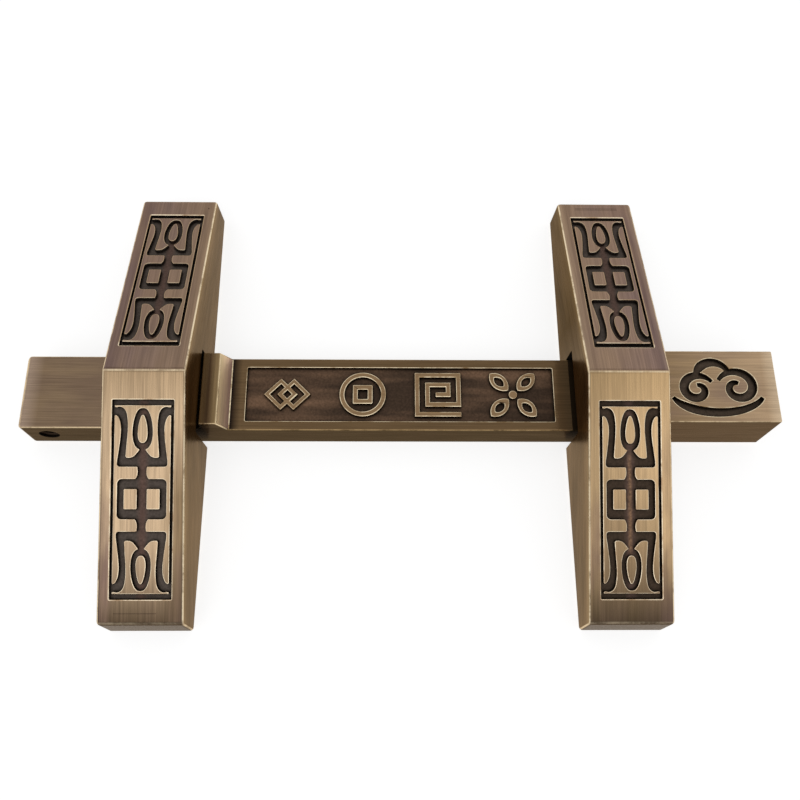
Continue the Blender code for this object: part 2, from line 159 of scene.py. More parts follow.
def stretched_noise(node, vector, along, width, length, detail):
    """Noise drawn out along an axis (0 for X, 1 for Y), from a real width and length in metres."""
    scale = [0.5 / width] * 3
    scale[along] = 0.5 / length
    return node("TexNoise", node("Mapping", vector, Scale=scale), 1.0, detail, 0.6)


def belt_vector(node, point):
    """Place on a bracket with the height measured from the slopes, because the belt followed them."""
    fallen = node(TIMES, node(SIZE_OF, point["Y"]), math.tan(fall))
    return node("CombineXYZ", point["X"], point["Y"], node(PLUS, point["Z"], fallen))


def across_bracket(node, point):
    """Distance across from the middle of the nearer bracket, and 1 on the right bracket or 0 on the left."""
    shifted = node(LESS, point["X"], between_brackets)
    middle = node(TIMES, node(SIGN_OF, shifted), half_spacing)
    return node(LESS, shifted, middle), node("MapRange", shifted, -0.01, 0.01)


print("Hair lines", HAIR_WIDTH * 1000, "mm wide and", HAIR_LENGTH * 1000, "mm long")

# %% [markdown]
# On each rounded arris a thin bright line comes and goes. It is partly clean brass, where hands and the other
# casting rubbed the dark layer off, and partly a painted highlight, set stronger on the arrises that catch the
# light. The surface's own direction finds those places: on a flat face it points straight along one axis, and
# only on a rounded arris it points between two. Four times the square of the sine times that of the cosine is
# 1 halfway round the arris and 0 on the flat. The hair lines shine a little more than the metal between them,
# and a slight bump lets them catch the light. Two more things can be asked for: pits, as small dark dots, and
# a near-black painted shadow.

# %% Brushing, wear and painted light
CHIP_WIDTH = 0.005
PIT_RADIUS = 0.00018
HAIR_DEPTH = 0.00003


def brushed_finish(node, shader, place, vector, along, colour, bright, wear):
    """Adds hair lines, bright arrises, pits and painted shadow to a colour, and the roughness and bump that go
    with them.

    The wear says how strongly the arrises of faces towards X and towards Y get their bright line, partly wear
    and partly painted highlight, and from which slant on. It also says where the pits are, where a painted
    shadow lies and where the surface is matt.
    """
    hairs = stretched_noise(node, vector, along, HAIR_WIDTH, HAIR_LENGTH, 2.0)
    softer = stretched_noise(node, vector, along, HAIR_WIDTH * 3, HAIR_LENGTH * 3, 2.0)
    colour = node(SHADE, 1.0, colour, node("MapRange", softer, 0.3, 0.7, 0.97, 1.03))
    colour = node(SHADE, 1.0, colour, node("MapRange", hairs, 0.3, 0.7, 0.84, 1.16))
    facing = node("SeparateXYZ", place["Normal"]).node.outputs
    # Bright arrises: partly wear, partly painted highlight, as strong per direction as the caller asks.
    wear_and_highlight = 0.0
    for axis in ("X", "Y"):
        square = node(TIMES, facing[axis], facing[axis])
        between = node(TIMES, square, node(LESS, 1.0, square))
        slant = node(TIMES, between, 4.0)
        arris_wear_and_highlight = node("MapRange", slant, wear["from"], 0.95, 0.0, wear[axis])
        wear_and_highlight = node(GREATER_OF, arris_wear_and_highlight, wear_and_highlight)
    chips = node("TexNoise", place["Object"], 1 / CHIP_WIDTH, 6.0, 0.75)
    wear_and_highlight = node(TIMES, wear_and_highlight, node("MapRange", chips, 0.38, 0.54, 0.2, 1.0))
    colour = node(TONES, wear_and_highlight, colour, bright)
    for pit in wear["pits"]:
        off_pit = node(DISTANCE_TO, place["Object"], pit)
        pitted = node("MapRange", off_pit, PIT_RADIUS, PIT_RADIUS * 1.8, 0.9, 0.0)
        colour = node(TONES, pitted, colour, "#2a211a")
    # The painted shadow: near black where the caller asks for it.
    plug(shader, "Base Color", node(TONES, wear["painted_shadow"], colour, "#100c09"))
    sheen = node("MapRange", hairs, 0.3, 0.7, 0.34, 0.24)
    plug(shader, "Roughness", node(PLUS, sheen, wear["matt"]))
    plug(shader, "Normal", node("Bump", 0.1, HAIR_DEPTH, Height=hairs))


print("Worn arrises chip every", CHIP_WIDTH * 1000, "mm or so")

# %% [markdown]
# The brackets' brass. Lacquered brass is a metal all over, so metallic is 1 and the colour does the work. The
# slopes that face down the door are light tan and the slopes above the bar purplish brown. That is partly
# patina, as the lower slopes were brushed most, and partly painted light: the lower slopes are painted lit and
# the upper ones painted shaded. The tan is darker by the ridge. It is darker at the lower end too, partly as
# painted shade, and painted light makes one strip of each frame lighter than the other. Purplish stains lie
# on the frame round the panel. The brown is lighter towards one side and along the right bracket's outer
# edge. Places are in metres: point says where a spot is, and across how far it is from its bracket's middle
# line.

# %% Colour of the slopes
def tan_of_lower_slopes(node, point, clouds):
    """Tan of the slopes that face down the door, partly patina and partly painted light, with its stains."""
    across, on_right = across_bracket(node, point)
    on_frame = node("MapRange", node(SIZE_OF, across), 0.0066, 0.0082)
    by_ridge = node("MapRange", point["Y"], 0.0, -0.014, 1.0, 0.0)
    tan = node(TONES, by_ridge, "#b49b7d", "#9d8568")
    tan = node(TONES, node(TIMES, on_right, 0.5), tan, "#ac8d60")
    # Painted light: one strip of each bracket's frame is lighter than the other.
    left_painted_light = node("MapRange", across, -0.010, -0.004, 1.12, 1.0)
    right_painted_light = node("MapRange", across, -0.010, 0.010, 0.85, 1.60)
    painted_light_across = node(LEVELS, on_right, left_painted_light, right_painted_light)
    tan = node(SHADE, 1.0, tan, painted_light_across)
    in_right_panel = node(TIMES, on_right, node(LESS, 1.0, on_frame))
    below_ridge = node("MapRange", point["Y"], -0.0075, -0.0085)
    in_right_panel = node(TIMES, in_right_panel, below_ridge)
    island_level = node("MapRange", point["Y"], -0.020, -0.038, 1.08, 0.72)
    tan = node(SHADE, 1.0, tan, node("MapRange", in_right_panel, 0.0, 1.0, 1.0, island_level))
    left_strip = node("MapRange", node(LESS, across, on_right), 0.0045, 0.0085)
    dull_strip = node(TIMES, left_strip, node("MapRange", point["Y"], -0.010, -0.030))
    tan = node(TONES, dull_strip, tan, "#7f6a50")
    # Darker towards the lower end, partly patina and partly painted shade.
    low_end_patina_and_shade = node("MapRange", point["Y"], -0.040, -0.059)
    tan = node(TONES, low_end_patina_and_shade, tan, "#4f4131")
    stain = node(TIMES, node("MapRange", clouds, 0.40, 0.66),
                 node("MapRange", point["Y"], -0.006, -0.046, 0.0, 0.9))
    stain = node(TIMES, stain, node("MapRange", on_frame, 0.0, 1.0, 0.25, 1.0))
    return node(TONES, stain, tan, "#6f5950")


def brown_of_upper_slopes(node, point, clouds):
    """Purplish brown of the slopes above the bar, lighter towards one side and along the right one's outer
    edge.
    """
    across, on_right = across_bracket(node, point)
    off_middle = node(SIZE_OF, across)
    on_frame = node("MapRange", off_middle, 0.0066, 0.0082)
    outer = node("MapRange", off_middle, 0.0084, 0.0102)
    cloudy = node("MapRange", clouds, 0.36, 0.66)
    brown = node(TONES, cloudy, "#8e7565", "#7b6662")
    brown = node(SHADE, 1.0, brown, node("MapRange", on_right, 0.0, 1.0, 0.97, 1.16))
    inward = node(TIMES, across, node("MapRange", on_right, 0.0, 1.0, 1.0, -1.0))
    lighter = node("MapRange", inward, -0.008, 0.010, 0.0, 0.65)
    brown = node(TONES, lighter, brown, "#a1876b")
    darker_inner_frame = node(TIMES, on_frame, node(LESS, 1.0, outer))
    brown = node(TONES, node(TIMES, darker_inner_frame, 0.3), brown, "#675249")
    lighter_outer_edge = node(TIMES, node(TIMES, on_right, outer), 0.4)
    return node(TONES, lighter_outer_edge, brown, "#b39a80")


print("Slopes are tan", linear("#b49b7d")[:3], "or brown", linear("#7b6662")[:3])

# %% [markdown]
# The casting's material chooses between slope, side and end by the way the surface faces. The sides are olive
# brown with a painted highlight along the slope. Above the bar their colour and the tint of their glancing
# reflection both go down, as painted shade. The ridge has a broken painted highlight, partly worn brass, with
# a painted shaded line behind it. Both castings have fine scored lines near an end, left from fitting, and the
# left one has two small casting pits.

# %% Brushed antique brass of the brackets
SCORED_LINES = ((-0.0571, -0.0641, 0.0052), (0.0570, 0.0577, 0.0061), (0.0575, 0.0577, 0.0061))
SCORED_HALF_WIDTH = 0.00007
RIDGE_LINE_HALF_WIDTH = 0.00022
RIDGE_CHIP_WIDTH = 0.004
CASTING_PITS = ((-0.0543, 0.0566, 0.0126), (-0.0521, 0.0356, 0.0190))


def bracket_brass():
    made, shader, node, place = start_metal("brushed_antique_brass_casting", "#d3c6b8")
    point = node("SeparateXYZ", place["Object"]).node.outputs
    facing = node("SeparateXYZ", place["Normal"]).node.outputs
    vector = belt_vector(node, point)
    clouds = stretched_noise(node, vector, 1, CLOUD_WIDTH, CLOUD_WIDTH * 3, 3.0)
    on_right = across_bracket(node, point)[1]
    # Tan below and brown above: partly patina, partly painted light and shade.
    on_upper = node("MapRange", facing["Y"], -0.1, 0.1)
    tan = tan_of_lower_slopes(node, point, clouds)
    slopes = node(TONES, on_upper, tan, brown_of_upper_slopes(node, point, clouds))

    cloudy = node("MapRange", clouds, 0.36, 0.66)
    olive = node(TONES, cloudy, "#826b4e", "#5e4d38")
    below_slope = node(LESS, RIDGE_HEIGHT, node("SeparateXYZ", vector).node.outputs["Z"])
    # Painted highlight along the top of the sides, under the slope's arris.
    highlight_along_slope = node("MapRange", below_slope, 0.0, 0.0035, 0.7, 0.0)
    olive = node(TONES, highlight_along_slope, olive, "#a88e6a")
    # Painted shade: above the bar the sides' colour and glancing tint go down.
    deepest_painted_shade = node("MapRange", on_right, 0.0, 1.0, 0.93, 0.74)
    above_bar = node("MapRange", point["Y"], 0.006, 0.020, 1.0, deepest_painted_shade)
    olive = node(SHADE, 1.0, olive, above_bar)
    plug(shader, "Specular Tint", node(SHADE, 1.0, "#d3c6b8", above_bar))
    on_side = node("MapRange", node(SIZE_OF, facing["X"]), 0.55, 0.85)
    on_end = node("MapRange", node(SIZE_OF, facing["Y"]), 0.6, 0.9)
    colour = node(TONES, on_side, slopes, olive)
    colour = node(TONES, on_end, colour, "#40342a")

    on_top = node("MapRange", facing["Z"], 0.7, 0.9)
    for y, x, half_length in SCORED_LINES:
        line = node(TIMES, node(WITHIN, point["Y"], y, SCORED_HALF_WIDTH),
                    node(WITHIN, point["X"], x, half_length))
        line = node(TIMES, node(TIMES, line, on_top), 0.9)
        colour = node(TONES, line, colour, "#3a2d24")
    # A broken painted highlight along the ridge, partly worn brass, and a painted shaded line behind it.
    chips = node("TexNoise", place["Object"], 1 / RIDGE_CHIP_WIDTH, 5.0, 0.7)
    for y, share, tone in ((-0.0002, 0.85, "#ecd7b4"), (0.0004, 0.5, "#5a463a")):
        on_ridge = node(TIMES, node(WITHIN, point["Y"], y, RIDGE_LINE_HALF_WIDTH),
                        node("MapRange", chips, 0.36, 0.60, 0.2, share))
        colour = node(TONES, node(TIMES, on_ridge, on_top), colour, tone)
    brushed_finish(node, shader, place, vector, 1, colour, "#f2debc", {
        "X": 1.0, "Y": 0.25, "from": 0.60, "painted_shadow": 0.0, "matt": 0.0, "pits": CASTING_PITS})
    return made


casting_brass = bracket_brass()
print("Made", casting_brass.name)

# %% [markdown]
# The bar is one casting of four heights: the tail with its hole, the thick block that stops it, the long
# waist with a sunk panel, and the head. Its finish changes from step to step, so its sizes come first. Places
# along it are measured from its middle. It lies 0.3 mm off the door and 0.7 mm above the brackets' middle.

# %% Sizes of the bar
BAR_LENGTH = 0.2000
BAR_WIDTH = 0.0210
BAR_LEAN = math.tan(math.radians(1.76))
TAIL_HEIGHT = 0.0112
BLOCK_HEIGHT = 0.0143
WAIST_HEIGHT = 0.0097
HEAD_HEIGHT = 0.0169
BLOCK_START = -0.0522
BLOCK_END = -0.0474
WAIST_START = -0.0449
HEAD_START = 0.0686
WAIST_PANEL_LENGTH = 0.0829
WAIST_PANEL_WIDTH = 0.0153
WAIST_PANEL_START = -0.0407
BAR_SHIFT = 0.0007
DOOR_CLEARANCE = 0.0003

panel_centre = WAIST_PANEL_START + WAIST_PANEL_LENGTH / 2
notch_start = RIGHT_BRACKET_X - BRACKET_WIDTH / 2
print("Waist", round((HEAD_START - WAIST_START) * 1000, 1), "mm long")

# %% [markdown]
# The bar is the same brass but darker, because it was brushed less after its bath. Its hair lines run along
# it, and only the block was brushed across. The head is the lightest, lighter towards its end as a painted
# soft highlight, and the tail's end is lighter too, partly wear and partly painted highlight. The sides are
# darker, and the waist has painted shade at the foot of the block's slope. The bar's top has a near-black
# painted shadow in the right notch, and so has the block's edge at the left one. Just before the right notch
# the waist is duller, so its roughness is higher there. Hair lines spread a reflection out across themselves:
# that is the anisotropic value. It is off on the block and by the notch: they shine evenly.

# %% Brushed antique brass of the bar
NOTCH_SHADOW_MIDDLE = 0.0575
NOTCH_SHADOW_HALF_LENGTH = 0.0108


def bar_brass():
    made, shader, node, place = start_metal("brushed_antique_brass_bar", "#d8ccc2")
    point = node("SeparateXYZ", place["Object"]).node.outputs
    facing = node("SeparateXYZ", place["Normal"]).node.outputs
    along = point["X"]
    above_tail = node("MapRange", point["Z"], TAIL_HEIGHT + 0.0006, TAIL_HEIGHT + 0.0010)
    on_block = node(TIMES, above_tail, node("MapRange", along, 0.0, 0.001, 1.0, 0.0))
    turned = node("CombineXYZ", point["Y"], along, point["Z"])
    vector = node(PLACES, on_block, place["Object"], turned)
    clouds = stretched_noise(node, vector, 0, CLOUD_WIDTH, CLOUD_WIDTH * 3, 3.0)

    # Painted soft highlight: the head is lighter towards its end.
    lighter = node("MapRange", along, HEAD_START - 0.0006, 0.098)
    colour = node(TONES, lighter, "#8f7657", "#c0a382")
    stained = node(TIMES, node("MapRange", clouds, 0.40, 0.62, 0.0, 0.55),
                   node("MapRange", along, 0.090, 0.098, 1.0, 0.0))
    colour = node(TONES, stained, colour, "#8f776b")
    # The head's end lighter still: partly wear, partly painted highlight.
    end_wear_and_highlight = node("MapRange", along, 0.0965, 0.0995, 0.0, 0.6)
    colour = node(TONES, end_wear_and_highlight, colour, "#e6cfb0")
    on_waist = node("MapRange", along, 0.060, 0.0605, 1.0, 0.0)
    colour = node(TONES, on_waist, colour, "#69543b")
    # Painted shade on the waist at the foot of the block's slope.
    foot = node("MapRange", along, WAIST_START + 0.0005, WAIST_START + 0.0029, 1.0, 0.0)
    colour = node(TONES, foot, colour, "#1d1613")
    cloudy = node("MapRange", clouds, 0.40, 0.60)
    tail = node(TONES, cloudy, "#88725a", "#7f6a57")
    # The tail's end lighter: partly wear, partly painted highlight.
    end_wear_and_highlight = node("MapRange", along, -0.0950, -0.0985, 0.0, 0.65)
    tail = node(TONES, end_wear_and_highlight, tail, "#b39c8a")
    on_tail = node("MapRange", along, BLOCK_START + 0.0004, BLOCK_START)
    colour = node(TONES, on_tail, colour, tail)
    clouded = node("MapRange", clouds, 0.45, 0.7, 0.0, 0.15)
    colour = node(TONES, clouded, colour, "#5a4434")
    block_middle = (BLOCK_START + BLOCK_END) / 2 - 0.0001
    off_middle = node(SIZE_OF, node(LESS, along, block_middle))
    off_middle = node("MapRange", off_middle, 0.0, 0.0022)
    block_tone = node(TONES, off_middle, "#5c4733", "#937b57")
    colour = node(TONES, on_block, colour, block_tone)
    on_motif = node(TIMES, node(WITHIN, along, panel_centre, WAIST_PANEL_LENGTH / 2 - 0.0014),
                    node(WITHIN, point["Y"], BAR_SHIFT, WAIST_PANEL_WIDTH / 2 - 0.0004))
    colour = node(TONES, on_motif, colour, "#8c7254")
    on_side = node("MapRange", node(SIZE_OF, facing["Y"]), 0.55, 0.85)
    on_head = node("MapRange", along, HEAD_START - 0.0006, HEAD_START + 0.0004)
    sides = node(TONES, on_head, "#483a25", "#5d4a33")
    colour = node(TONES, on_side, colour, sides)
    on_end = node("MapRange", node(SIZE_OF, facing["X"]), 0.88, 0.97)
    colour = node(TONES, on_end, colour, "#6b573f")

    on_top = node("MapRange", facing["Z"], 0.2, 0.6)
    # Near-black painted shadow on the bar's top in the right notch and on the block's edge at the left one.
    painted_shadow_in_notch = node(TIMES, node(WITHIN, along, NOTCH_SHADOW_MIDDLE, NOTCH_SHADOW_HALF_LENGTH), 0.85)
    block_edge_shadow = node("MapRange", along, BLOCK_START + 0.0006, BLOCK_START + 0.0003)
    painted_shadow_in_notch = node(GREATER_OF, painted_shadow_in_notch, node(TIMES, on_block, block_edge_shadow))
    dulling = node("MapRange", along, notch_start - 0.0036, notch_start - 0.0004)
    before_head = node("MapRange", along, HEAD_START - 0.0003, HEAD_START, 1.0, 0.0)
    by_notch = node(TIMES, node(TIMES, dulling, before_head), on_top)
    by_waist = node(WITHIN, along, 0.010, 0.0552)
    # Tone of the bar's bright arrises, partly wear and partly painted highlight.
    wear_and_highlight_tone = node(TONES, by_waist, "#ead2aa", "#a58a62")
    brushed_finish(node, shader, place, vector, 0, colour, wear_and_highlight_tone, {
        "X": 1.0, "Y": 0.8, "from": 0.15, "painted_shadow": node(TIMES, painted_shadow_in_notch, on_top),
        "matt": node(TIMES, by_notch, 0.3), "pits": ()})
    plug(shader, "Tangent", node("CombineXYZ", 0.0, 1.0, 1.0))
    unbrushed = node(GREATER_OF, on_block, by_notch)
    plug(shader, "Anisotropic", node("MapRange", unbrushed, 0.0, 1.0, 0.9, 0.0))
    return made


sliding_brass = bar_brass()
print("Made", sliding_brass.name)

# %% [markdown]
# The rims of the sunk panels and of the raised shapes are bright too, partly wear and partly a painted
# highlight, but they are so narrow that they have a material of their own, on the small bevels only. A noise
# brings the dark layer back in places, and the rims above the bar that face away from the light get painted
# shade.

# %% Rims: wear and painted highlight
PATCH_WIDTH = 0.004


def rim_wear_and_highlight_brass(name, bright, dull):
    made, shader, node, place = start_metal(name, "#f7e8c8")
    shader.inputs["Roughness"].default_value = 0.34
    patches = node("TexNoise", place["Object"], 1 / PATCH_WIDTH, 4.0, 0.65)
    share = node("MapRange", patches, 0.36, 0.56)
    y = node("SeparateXYZ", place["Object"]).node.outputs["Y"]
    facing_y = node("SeparateXYZ", place["Normal"]).node.outputs["Y"]
    # Painted shade: rims above the bar that face away from the light stay dull.
    above_bar = node("MapRange", y, 0.0080, 0.0085)
    painted_shade_turned_away = node("MapRange", facing_y, -0.10, 0.20, 0.0, 0.85)
    wear_and_highlight = node(LESS, 1.0, node(TIMES, above_bar, painted_shade_turned_away))
    share = node(TIMES, share, wear_and_highlight)
    plug(shader, "Base Color", node(TONES, share, dull, bright))
    return made


casting_rim = rim_wear_and_highlight_brass("rim_wear_and_highlight_casting", "#f4e2c4", "#b89c7c")
bar_rim = rim_wear_and_highlight_brass("rim_wear_and_highlight_bar", "#f4e2c0", "#a58a66")
print("Made", casting_rim.name, "and", bar_rim.name)

# %% [markdown]
# The slope at the end of the bar's block slides into the bracket's notch and was rubbed across. Its light
# cream, darker and pinker down towards its foot, is partly clean brass and partly a painted highlight. Its
# shine
# is duller: its roughness is higher, which lets it catch light from far to the side.

# %% Slope of the block: rubbed brass and painted highlight
RUB_WIDTH = 0.0005
RUB_LENGTH = 0.010


def slope_brass():
    made, shader, node, place = start_metal("rubbed_and_highlight_brass_block_slope", "#f9ebcd")
    rubs = stretched_noise(node, place["Object"], 1, RUB_WIDTH, RUB_LENGTH, 3.0)
    x = node("SeparateXYZ", place["Object"]).node.outputs["X"]
    down = node("MapRange", x, BLOCK_END, WAIST_START - 0.0001)
    # Partly painted highlight: light cream at the top of the slope, darker and pinker towards its foot.
    colour = node(TONES, down, "#ffe8bb", "#c6a396")
    colour = node(SHADE, 1.0, colour, node("MapRange", rubs, 0.3, 0.7, 0.78, 1.12))
    plug(shader, "Base Color", colour)
    plug(shader, "Roughness", node("MapRange", rubs, 0.3, 0.7, 0.62, 0.52))
    return made


rubbed_and_highlight_slope = slope_brass()
print("Made", rubbed_and_highlight_slope.name)

# %% [markdown]
# The sunk floors were out of the belt's reach, so they keep the bath's full dark layer: a grey-brown, rough
# film. Against the walls it is almost black, partly where the bath's dregs settled and partly as painted
# shade.
# Ambient occlusion tells the material how near a wall is. The film isn't pure metal to the eye, so it is only
# partly metallic. It is reddish along the spine of a bracket's ornament and in streaks on the waist. The right
# bracket's lower panel is darker, with a lighter copper streak down its spine that is a painted glint.

# %% Dark layer in the sunk parts
GRAIN_WIDTH = 0.0006
GRAIN_DEPTH = 0.00005
STREAK_WIDTH = 0.003
STREAK_LENGTH = 0.020
GLINT_STREAK_MIDDLE = -0.0315


def reddish_spine(node, point, grains, floor, reddish):
    """Floor of the brackets' panels: reddish along the spine, and darker with a painted glint in one panel."""
    across, on_right = across_bracket(node, point)
    off_spine = node(SIZE_OF, across)
    right_low = node(TIMES, on_right, node("MapRange", point["Y"], -0.004, 0.004, 1.0, 0.0))
    colour = node(TONES, right_low, floor, "#40342b")
    share = node("MapRange", off_spine, 0.0004, 0.0016, 1.0, 0.0)
    colour = node(TONES, share, colour, reddish)
    # A lighter copper streak down the right bracket's lower spine: a painted glint.
    off_painted_glint = node(SIZE_OF, node(LESS, point["Y"], GLINT_STREAK_MIDDLE))
    painted_glint = node(TIMES, node("MapRange", off_spine, 0.0, 0.0007, 0.6, 0.0),
                node("MapRange", off_painted_glint, 0.0095, 0.0130, 1.0, 0.0))
    grainy = node("MapRange", grains, 0.35, 0.65, 0.4, 1.0)
    painted_glint = node(TIMES, node(TIMES, painted_glint, right_low), grainy)
    return node(TONES, painted_glint, colour, "#a9835f")


def dark_layer(name, floor, reddish, corner, with_spine, reach):
    made, shader, node, place = start_metal(name, "#d4c0a4")
    shader.inputs["Metallic"].default_value = 0.7
    shader.inputs["Roughness"].default_value = 0.45
    grains = node("TexNoise", place["Object"], 1 / GRAIN_WIDTH, 3.0, 0.6)
    if with_spine:
        point = node("SeparateXYZ", place["Object"]).node.outputs
        colour = reddish_spine(node, point, grains, floor, reddish)
    else:
        streaks = stretched_noise(node, place["Object"], 0, STREAK_WIDTH, STREAK_LENGTH, 2.0)
        share = node("MapRange", streaks, 0.40, 0.62)
        colour = node(TONES, share, floor, reddish)
    colour = node(SHADE, 1.0, colour, node("MapRange", grains, 0.3, 0.7, 0.72, 1.28))
    # Near black close to the walls: partly dregs, partly painted shade.
    nearness = node(WALLS_NEARBY, Distance=reach).node.outputs["AO"]
    open_air = node("MapRange", nearness, 0.45, 0.90)
    plug(shader, "Base Color", node(TONES, open_air, corner, colour))
    plug(shader, "Normal", node("Bump", 0.3, GRAIN_DEPTH, Height=grains))
    return made


casting_dark = dark_layer("blackened_brass_casting_recess", "#4c443f", "#59463f", "#120e0c", True, 0.0011)
bar_dark = dark_layer("blackened_brass_bar_recess", "#43342a", "#785d49", "#120d0a", False, 0.0042)
groove_dark = dark_layer("blackened_brass_groove", "#453a31", "#50443a", "#0f0c0a", False, 0.0014)
# Painted shade: the holes and the notch's walls are near black, as little light gets in.
hole_dark = dark_layer("painted_shade_black_brass_hole_and_notch", "#14110e", "#1a1612", "#060505", False, 0.0030)
shade_black_shader = hole_dark.node_tree.nodes["Principled BSDF"]
shade_black_shader.inputs["Metallic"].default_value = 0.2
shade_black_shader.inputs["Roughness"].default_value = 0.8
print("Made", casting_dark.name, bar_dark.name, groove_dark.name, hole_dark.name)

# %% [markdown]
# Modelling by hand means choosing what a tool acts on. These helpers do that in code: one opens a piece in
# edit mode with nothing else selected, and one selects vertices, edges or faces by a test of their place or
# direction.

# %% Selecting by place
TINY = 0.00002


def only(piece):
    bpy.ops.object.select_all(action="DESELECT")
    piece.select_set(True)
    bpy.context.view_layer.objects.active = piece


def open_piece(piece):
    only(piece)
    bpy.ops.object.mode_set(mode="EDIT")


def close_piece():
    bpy.ops.object.mode_set(mode="OBJECT")


def pick(piece, kind, wanted):
    """Selects the vertices, edges or faces that pass a test, and nothing else. Says how many there are."""
    bpy.ops.mesh.select_mode(type=kind)
    bpy.ops.mesh.select_all(action="DESELECT")
    mesh = bmesh.from_edit_mesh(piece.data)
    mesh.normal_update()
    parts = {"VERT": mesh.verts, "EDGE": mesh.edges, "FACE": mesh.faces}[kind]
    chosen = [item for item in parts if wanted(item)]
    for item in chosen:
        item.select_set(True)
    mesh.select_flush_mode()
    bmesh.update_edit_mesh(piece.data)
    return len(chosen)


def near(value, target, reach=TINY):
    return abs(value - target) < reach


def convex(edge):
    return len(edge.link_faces) == 2 and edge.calc_face_angle_signed(0.0) > math.radians(12)


def level_at(edge, height):
    return all(near(v.co.z, height) for v in edge.verts)


def upright(edge):
    top, foot = (v.co for v in edge.verts)
    return near(top.x, foot.x) and near(top.y, foot.y)


def block(name, low, high):
    """A cube added at its size and place, from its lowest to its highest corner."""
    bpy.ops.object.select_all(action="DESELECT")
    size = [b - a for a, b in zip(low, high)]
    middle = [(a + b) / 2 for a, b in zip(low, high)]
    bpy.ops.mesh.primitive_cube_add(size=1.0, location=middle, scale=size)
    made = bpy.context.active_object
    made.name = name
    bpy.ops.object.transform_apply(location=True, rotation=True, scale=True)
    return made


def give_slots(piece, materials):
    piece.data.materials.clear()
    for material in materials:
        piece.data.materials.append(material)


def paint(piece, wanted, slot_number):
    """Gives the faces that pass a test one of the piece's material slots."""
    open_piece(piece)
    count = pick(piece, "FACE", wanted)
    piece.active_material_index = slot_number
    if count:
        bpy.ops.object.material_slot_assign()
    close_piece()
    return count


def cut(piece, cutter):
    """Cuts a closed shape out of a piece. The new faces keep the cutter's material."""
    step = piece.modifiers.new("cut_" + cutter.name, "BOOLEAN")
    step.operation = "DIFFERENCE"
    step.solver = "EXACT"
    step.material_mode = "TRANSFER"
    step.object = cutter
    only(piece)
    bpy.ops.object.modifier_apply(modifier=step.name)
    bpy.data.objects.remove(cutter)
    return len(piece.data.polygons)


print("Places count as the same within", TINY * 1000, "mm")

# %% [markdown]
# A bracket starts as a cube as high as its ends. It is cut across its middle, and the new line is lifted to
# make the ridge. Then the top is narrowed and shortened a little, which makes the sides and the ends lean.

# %% Bracket: the gable
casting = block("bracket_casting", (-BRACKET_WIDTH / 2, -BRACKET_LENGTH / 2, 0),
                (BRACKET_WIDTH / 2, BRACKET_LENGTH / 2, END_HEIGHT))
give_slots(casting, [casting_brass, casting_rim, casting_dark])
open_piece(casting)
bpy.ops.mesh.select_all(action="SELECT")
bpy.ops.mesh.bisect(plane_co=(0, 0, 0), plane_no=(0, 1, 0))
pick(casting, "VERT", lambda v: near(v.co.y, 0) and v.co.z > TINY)
bpy.ops.transform.translate(value=(0, 0, RIDGE_HEIGHT - END_HEIGHT))
for height in (END_HEIGHT, RIDGE_HEIGHT):
    pick(casting, "VERT", lambda v: near(v.co.z, height))
    narrowing = 1 - 2 * SIDE_LEAN * height / BRACKET_WIDTH
    bpy.ops.transform.resize(value=(narrowing, 1, 1), center_override=(0, 0, 0))
pick(casting, "VERT", lambda v: near(v.co.z, END_HEIGHT))
shortening = 1 - 2 * END_LEAN * END_HEIGHT / BRACKET_LENGTH
bpy.ops.transform.resize(value=(1, shortening, 1), center_override=(0, 0, 0))
close_piece()
print("Gable of", len(casting.data.polygons), "faces")

# %% [markdown]
# Every outer edge of the casting was rounded by the belt, and a bevel of four segments does that here. The
# line across the middle of the flat back isn't an edge of the real piece, so it is dissolved first.

# %% Bracket: rounded arrises
ARRIS_RADIUS = 0.0009

open_piece(casting)
pick(casting, "EDGE", lambda e: all(near(v.co.z, 0) and near(v.co.y, 0) for v in e.verts))
bpy.ops.mesh.dissolve_edges()
count = pick(casting, "EDGE", convex)
bpy.ops.mesh.bevel(offset=ARRIS_RADIUS, segments=4, profile=0.5, affect="EDGES", clamp_overlap=True)
close_piece()
print("Rounded", count, "arrises")

# %% [markdown]
# The bar passes through a notch in the bracket's back. Its inner corners have a small radius. It is a block
# with two bevelled edges that is cut out of the casting, and its walls are painted near black as shade.

# %% Bracket: the notch
NOTCH_WIDTH = 0.0234
NOTCH_HEIGHT = 0.0152
NOTCH_CORNER_RADIUS = 0.0010
OVERRUN = 0.0030

notch = block("notch", (-BRACKET_WIDTH / 2 - OVERRUN, -NOTCH_WIDTH / 2, -OVERRUN),
              (BRACKET_WIDTH / 2 + OVERRUN, NOTCH_WIDTH / 2, NOTCH_HEIGHT))
give_slots(notch, [hole_dark])
open_piece(notch)
pick(notch, "EDGE", lambda e: level_at(e, NOTCH_HEIGHT) and near(e.verts[0].co.y, e.verts[1].co.y))
bpy.ops.mesh.bevel(offset=NOTCH_CORNER_RADIUS, segments=5, affect="EDGES")
close_piece()
cut(casting, notch)
print("Notched casting has", len(casting.data.polygons), "faces")

# %% [markdown]
# Screws through the door hold the bracket, in two tapped holes in its back. A 6 mm thread is cut in a core of
# 5 mm, so the holes are that wide and 10 mm deep.

# %% Bracket: the holes in its back
SCREW_HOLE_RADIUS = 0.0025
SCREW_HOLE_DEPTH = 0.0100
SCREW_HOLE_SPACING = 0.0640


